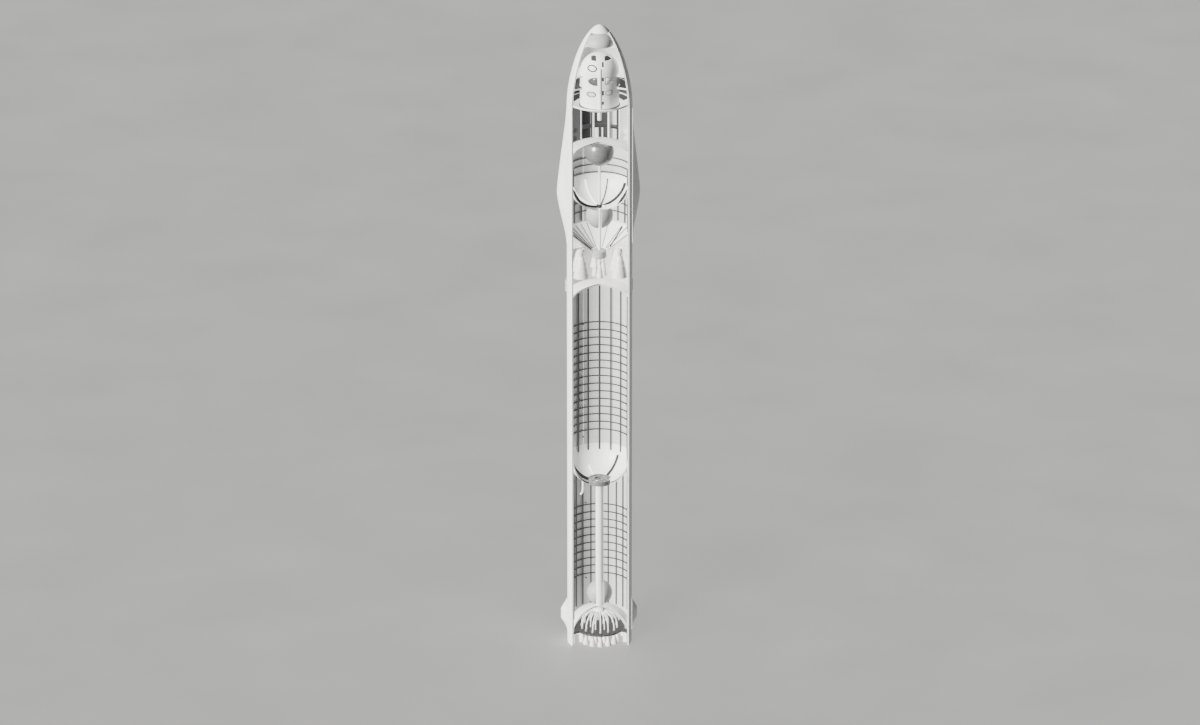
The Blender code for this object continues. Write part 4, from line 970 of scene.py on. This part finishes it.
def make_cabin():
    """The floor, the cabin with its windows and seals, the riser, the decks and the nose's bulkhead, with
    painted shade: a dark backing and panes behind the windows, a dark ring at the cabin's foot and dark
    panels round the cabin
    """
    column_r, column_low = 0.0385, 10.2002
    section = [(0.0, FLOOR_TOP), (FLOOR_FLAT, FLOOR_TOP), (FLOOR_EDGE, FLOOR_TOP + FLOOR_RISE),
               (FLOOR_EDGE, FLOOR_LOW + 0.090), (FLOOR_FLAT, FLOOR_LOW), (column_r, FLOOR_LOW),
               (column_r, column_low + 0.0008), (0.034, column_low), (0.0, column_low)]
    dress(turned("cabin_floor_plate", section, 96), "ship", "cabin_floor", DOME)

    outer = [(CABIN_R, CABIN_FOOT), (CABIN_R, EAVES), (cabin_r(11.16), 11.16)]
    outer += arc(CABIN_R, CABIN_RISE, EAVES, 24)[3:]
    inner_r = CABIN_R - CABIN_THICK
    inner = [(inner_r, CABIN_FOOT)] + arc(inner_r, CABIN_RISE - CABIN_THICK, EAVES, 24)
    shell = turned("cabin_wall", outer + inner[::-1], 96)
    for low, high in SMALL_WINDOWS:
        middle = ((low[0] + high[0]) / 2, -0.255, (low[1] + high[1]) / 2)
        cut_with(shell, ease_edges(block(middle, (high[0] - low[0], 0.39, high[1] - low[1])), 0.008, 3, 60.0))
    for outline in (LEFT_WINDOW, RIGHT_WINDOW):
        points = [Vector((x, 0.0, z)) + TOOL_Y for x, z in outline]
        cut_with(shell, push_outline("window_tool", points, TOOL_DEPTH))
    hold([shell])
    bpy.ops.object.shade_smooth_by_angle(angle=radians(32.0))
    dress(shell, "ship", "cabin_shell", SKIN)

    # A dark backing inside the cabin wall: painted shade for the dark inside seen through the windows
    outer, inner = ([(r, 10.500)] + arc(r, r + 0.009, EAVES, 24) for r in (0.3424, 0.3404))
    dress(turned("cabin_shade_backing", outer + inner[::-1], 96), "ship", "", SHADE_PANELS, slot=GREY)
    # Dark panes behind both windows: painted shade
    for name, outline in (("left_pane_painted_shade", LEFT_WINDOW), ("right_pane_painted_shade", RIGHT_WINDOW)):
        dress(cabin_panel(name, outline, 1.06, 0.3440, 0.3475), "ship", "", PANE_SHADE, slot=GREY)
    dress(cabin_panel("window_cover", RIGHT_WINDOW, 0.80, 0.3480, 0.3540), "ship", "", SKIN)
    high_x, low_x = -0.150, -0.168
    seals = [oval(high_x, 11.2755, 0.076, 0.0500, 0.013), oval(low_x, 10.7915, 0.076, 0.0450, 0.010),
             oval(0.150, 10.8215, 0.068, 0.0465, 0.005)]
    for x, z, half in ((high_x, 11.262, 0.068), (high_x, 11.289, 0.068), (low_x, 10.778, 0.066),
                       (low_x, 10.806, 0.058)):
        seals.append(sweep_pipe("oval_bar", [cabin_front(x + half * (i / 10.0 - 1.0), z) for i in range(21)],
                                0.004, 8))
    dress(one_piece("hatch_seals", seals), "ship", "", RUBBER_AND_SHADOW, slot=GREY)
    # A dark ring at the cabin's foot: painted shadow for the shadow line between the cabin and the floor
    ring = [(0.3555, 10.4930), (0.3720, 10.4995), (0.3720, 10.5080), (0.3555, 10.5200)]
    dress(turned("cabin_foot_painted_shadow", ring, 96), "ship", "", RUBBER_AND_SHADOW, slot=GREY)

    riser_x, riser_r, dent = -0.017, 0.0375, 0.036
    y = -sqrt((CABIN_R + 0.0006 + 0.038) ** 2 - riser_x ** 2)
    low = level(FLOOR_UNDER, 0.434) + 0.036
    riser = [(0.0, low), (riser_r, low), (riser_r, 10.83), (dent, 10.833), (dent, 10.839), (riser_r, 10.842),
             (riser_r, 11.285), (0.030, 11.2985), (0.0, 11.2999)]
    dress(turned("cabin_riser_tube", riser, 40, (riser_x, y)), "ship", "cabin_riser", DOME)

    for name, z, thick, inner_r in (("upper_ring_deck", 11.075, 0.030, 0.3575),
                                    ("lower_ring_deck", 10.845, 0.030, 0.3575),
                                    ("nose_deck", 11.620, 0.018, 0.200)):
        top = z + thick
        edge = nose_in_r(top) - 0.0035
        deck = spun(name + "_plate", box(inner_r, edge, z, top))
        dress(ease_edges(deck, 0.003), "ship", name, DOME)
        # The lower deck's top is painted dark as shade
        if name == "lower_ring_deck":
            deck_shade = spun(name + "_mat", box(0.3620, edge - 0.006, top, top + 0.002))
            dress(deck_shade, "ship", "", SHADE_PANELS, slot=GREY)
    # Dark panels round the cabin and on the floor's rim: painted shade
    cells = [wall_shade_panel(low, high, -28.5, 208.5) for low, high in ((10.600, 10.842), (10.880, 11.072))]
    slope = FLOOR_RISE / (FLOOR_EDGE - FLOOR_FLAT)
    section = [(r, FLOOR_TOP + slope * (r - FLOOR_FLAT) + up) for r, up in box(0.452, 0.556, 0.0006, 0.0028)]
    cells.append(spun("floor_mat", section, 78, 12.0, 156.0))
    dress(one_piece("cabin_surround_shade_panels", cells), "ship", "", SHADE_PANELS, slot=GREY)
    section = [(0.0, 11.6384), (0.246, 11.6384), (0.2495, 11.642)] + arc(0.2495, 0.202, 11.650, 24)
    bulkhead = turned("nose_bulkhead_dome", section, 72)
    dress(bulkhead, "ship", "nose_bulkhead", PRIMER_AND_SHADE, slot=GREY)


# Grid fins, bolts and probes

def make_fins():
    """The grid fins with their hinge bars, and the bolts of their brackets"""
    clear_bench()
    middle = (0.0, 0.001, -0.130)
    bpy.ops.mesh.primitive_grid_add(x_subdivisions=8, y_subdivisions=6, size=1.0, location=middle,
                                    rotation=(pi / 2, 0.0, 0.0))
    bpy.ops.transform.resize(value=(0.297, 1.0, 0.217), center_override=middle)
    settle()
    edit()
    bpy.ops.mesh.select_mode(type='FACE')
    select_all()
    bpy.ops.mesh.inset(thickness=0.0028, use_individual=True)
    bpy.ops.mesh.delete(type='FACE')
    select_all()
    pull((0.0, -0.0275, 0.0))
    weld()
    parts = [bpy.context.object]
    for radius, half in ((0.014, 0.0785), (0.0078, 0.0985)):
        parts.append(ease_edges(rod(32, radius, 2 * half, turn=TIPPED), 0.002))
    for x in (-0.05, 0.05):
        parts.append(ease_edges(block((x, -0.002, -0.015), (0.024, 0.012, 0.022)), 0.002))
    fin = one_piece("grid_fin_casting", parts)
    hold([fin])
    bpy.ops.object.shade_smooth_by_angle(angle=radians(32.0))
    sides = (("right", 30.0), ("left", 150.0))
    places = [Matrix.Translation(spot(HINGE_R, angle, HINGE_Z)) @ round_axis([angle - 90.0])[0]
              for side, angle in sides]
    for piece, (side, angle) in zip(copies(fin, places), sides):
        piece.name = "grid_fin_casting_" + side
        dress(piece, side + "_fin", "grid_fin_" + side, FIN, slot=PALE)

    bolt = ease_edges(rod(6, 0.0055, 0.0045, (0.6155, 0.0, 7.1085), TIPPED), 0.0008, 1)
    bolts = copies(bolt, round_axis(row(25.5, 3.0, 4) + row(145.5, 3.0, 4)))
    for side, four in (("right", bolts[:4]), ("left", bolts[4:])):
        dress(one_piece("bracket_bolts_" + side, four), "booster", "", STEEL, slot=PALE)


def make_probes():
    """Small dark probe housings on the tanks' back walls"""
    section = [(0.0, -0.002), (0.015, -0.002), (0.015, 0.012), (0.012, 0.015), (0.006, 0.015), (0.005, 0.011),
               (0.0, 0.011)]
    places = []
    for angle, z in ((121.0, 6.098), (121.0, 3.883), (114.6, 2.560), (114.6, 1.056)):
        turn = round_axis([angle])[0] @ Matrix.Rotation(-pi / 2, 4, 'Y')
        places.append(Matrix.Translation(spot(0.5450, angle, z)) @ turn)
    probes = copies(turned("probe", section, 24), places)
    dress(one_piece("wall_probes", probes), "booster", "", RUBBER_AND_SHADOW, slot=GREY)


def dress_the_rest():
    """Gives the nodes that stay a finish of their own"""
    for name in ("fin_bracket_left", "fin_bracket_right"):
        node = bpy.data.objects[name]
        node.data.materials.clear()
        node.data.materials.append(FIN)


# The studio

def put_down(name, data, azimuth, height, distance, middle=(0.0, 0.0, 0.0)):
    """Places a light or the camera, so that it looks at a point from an angle, some way off"""
    away = spot(cos(radians(height)), azimuth, sin(radians(height)))
    made = bpy.data.objects.new(name, data)
    made.location = Vector(middle) + away * distance
    made.rotation_euler = away.to_track_quat('Z', 'Y').to_euler()
    bpy.context.scene.collection.objects.link(made)
    return made


def sun(name, azimuth, height, strength, spread, shadows=True):
    """A light from far away"""
    light = bpy.data.lights.new(name, 'SUN')
    light.energy = strength
    light.angle = radians(spread)
    light.use_shadow = shadows
    put_down(name, light, azimuth, height, 30.0)


def make_studio():
    """A pale floor, a key light from the left without shadows, a weak soft light with them, and the camera"""
    clear_bench()
    bpy.ops.mesh.primitive_plane_add(size=260.0, location=(0.0, 0.0, -0.001))
    edit()
    select_all()
    pull((0.0, 0.0, -0.3))
    select_all()
    bpy.ops.mesh.normals_make_consistent(inside=False)
    bpy.ops.object.mode_set(mode='OBJECT')
    settle()
    floor = named("studio_floor")
    # Painted screed floor: pale, matt, with broad faint clouds of the roller
    clouds = ("929290", "898987", 2600.0, 0.55, 0.70)
    floor.data.materials.append(coat("rolled_floor_paint", "8E8E8C", 0.62, clouds))

    sun("key_light", -148.0, 27.0, 14.0, 10.0, False)
    sun("soft_light", -125.0, 45.0, 0.9, 25.0)
    world = bpy.data.worlds.new("studio_air")
    world.use_nodes = True
    world.node_tree.nodes["Background"].inputs["Color"].default_value = (0.92, 0.95, 1.0, 1.0)
    world.node_tree.nodes["Background"].inputs["Strength"].default_value = 0.02
    bpy.context.scene.world = world

    lens = bpy.data.cameras.new("camera")
    lens.lens = 202.0
    lens.sensor_width = 36.0
    lens.clip_end = 600.0
    bpy.context.scene.camera = put_down("camera", lens, -93.5, 20.0, 124.0, (0.0075, 0.0, 5.512))


make_skins()
make_pods()
make_booster_tanks()
make_booster_engines()
make_ship_tanks()
make_ship_engines()
make_bay()
make_cabin()
make_fins()
make_probes()
dress_the_rest()
make_studio()
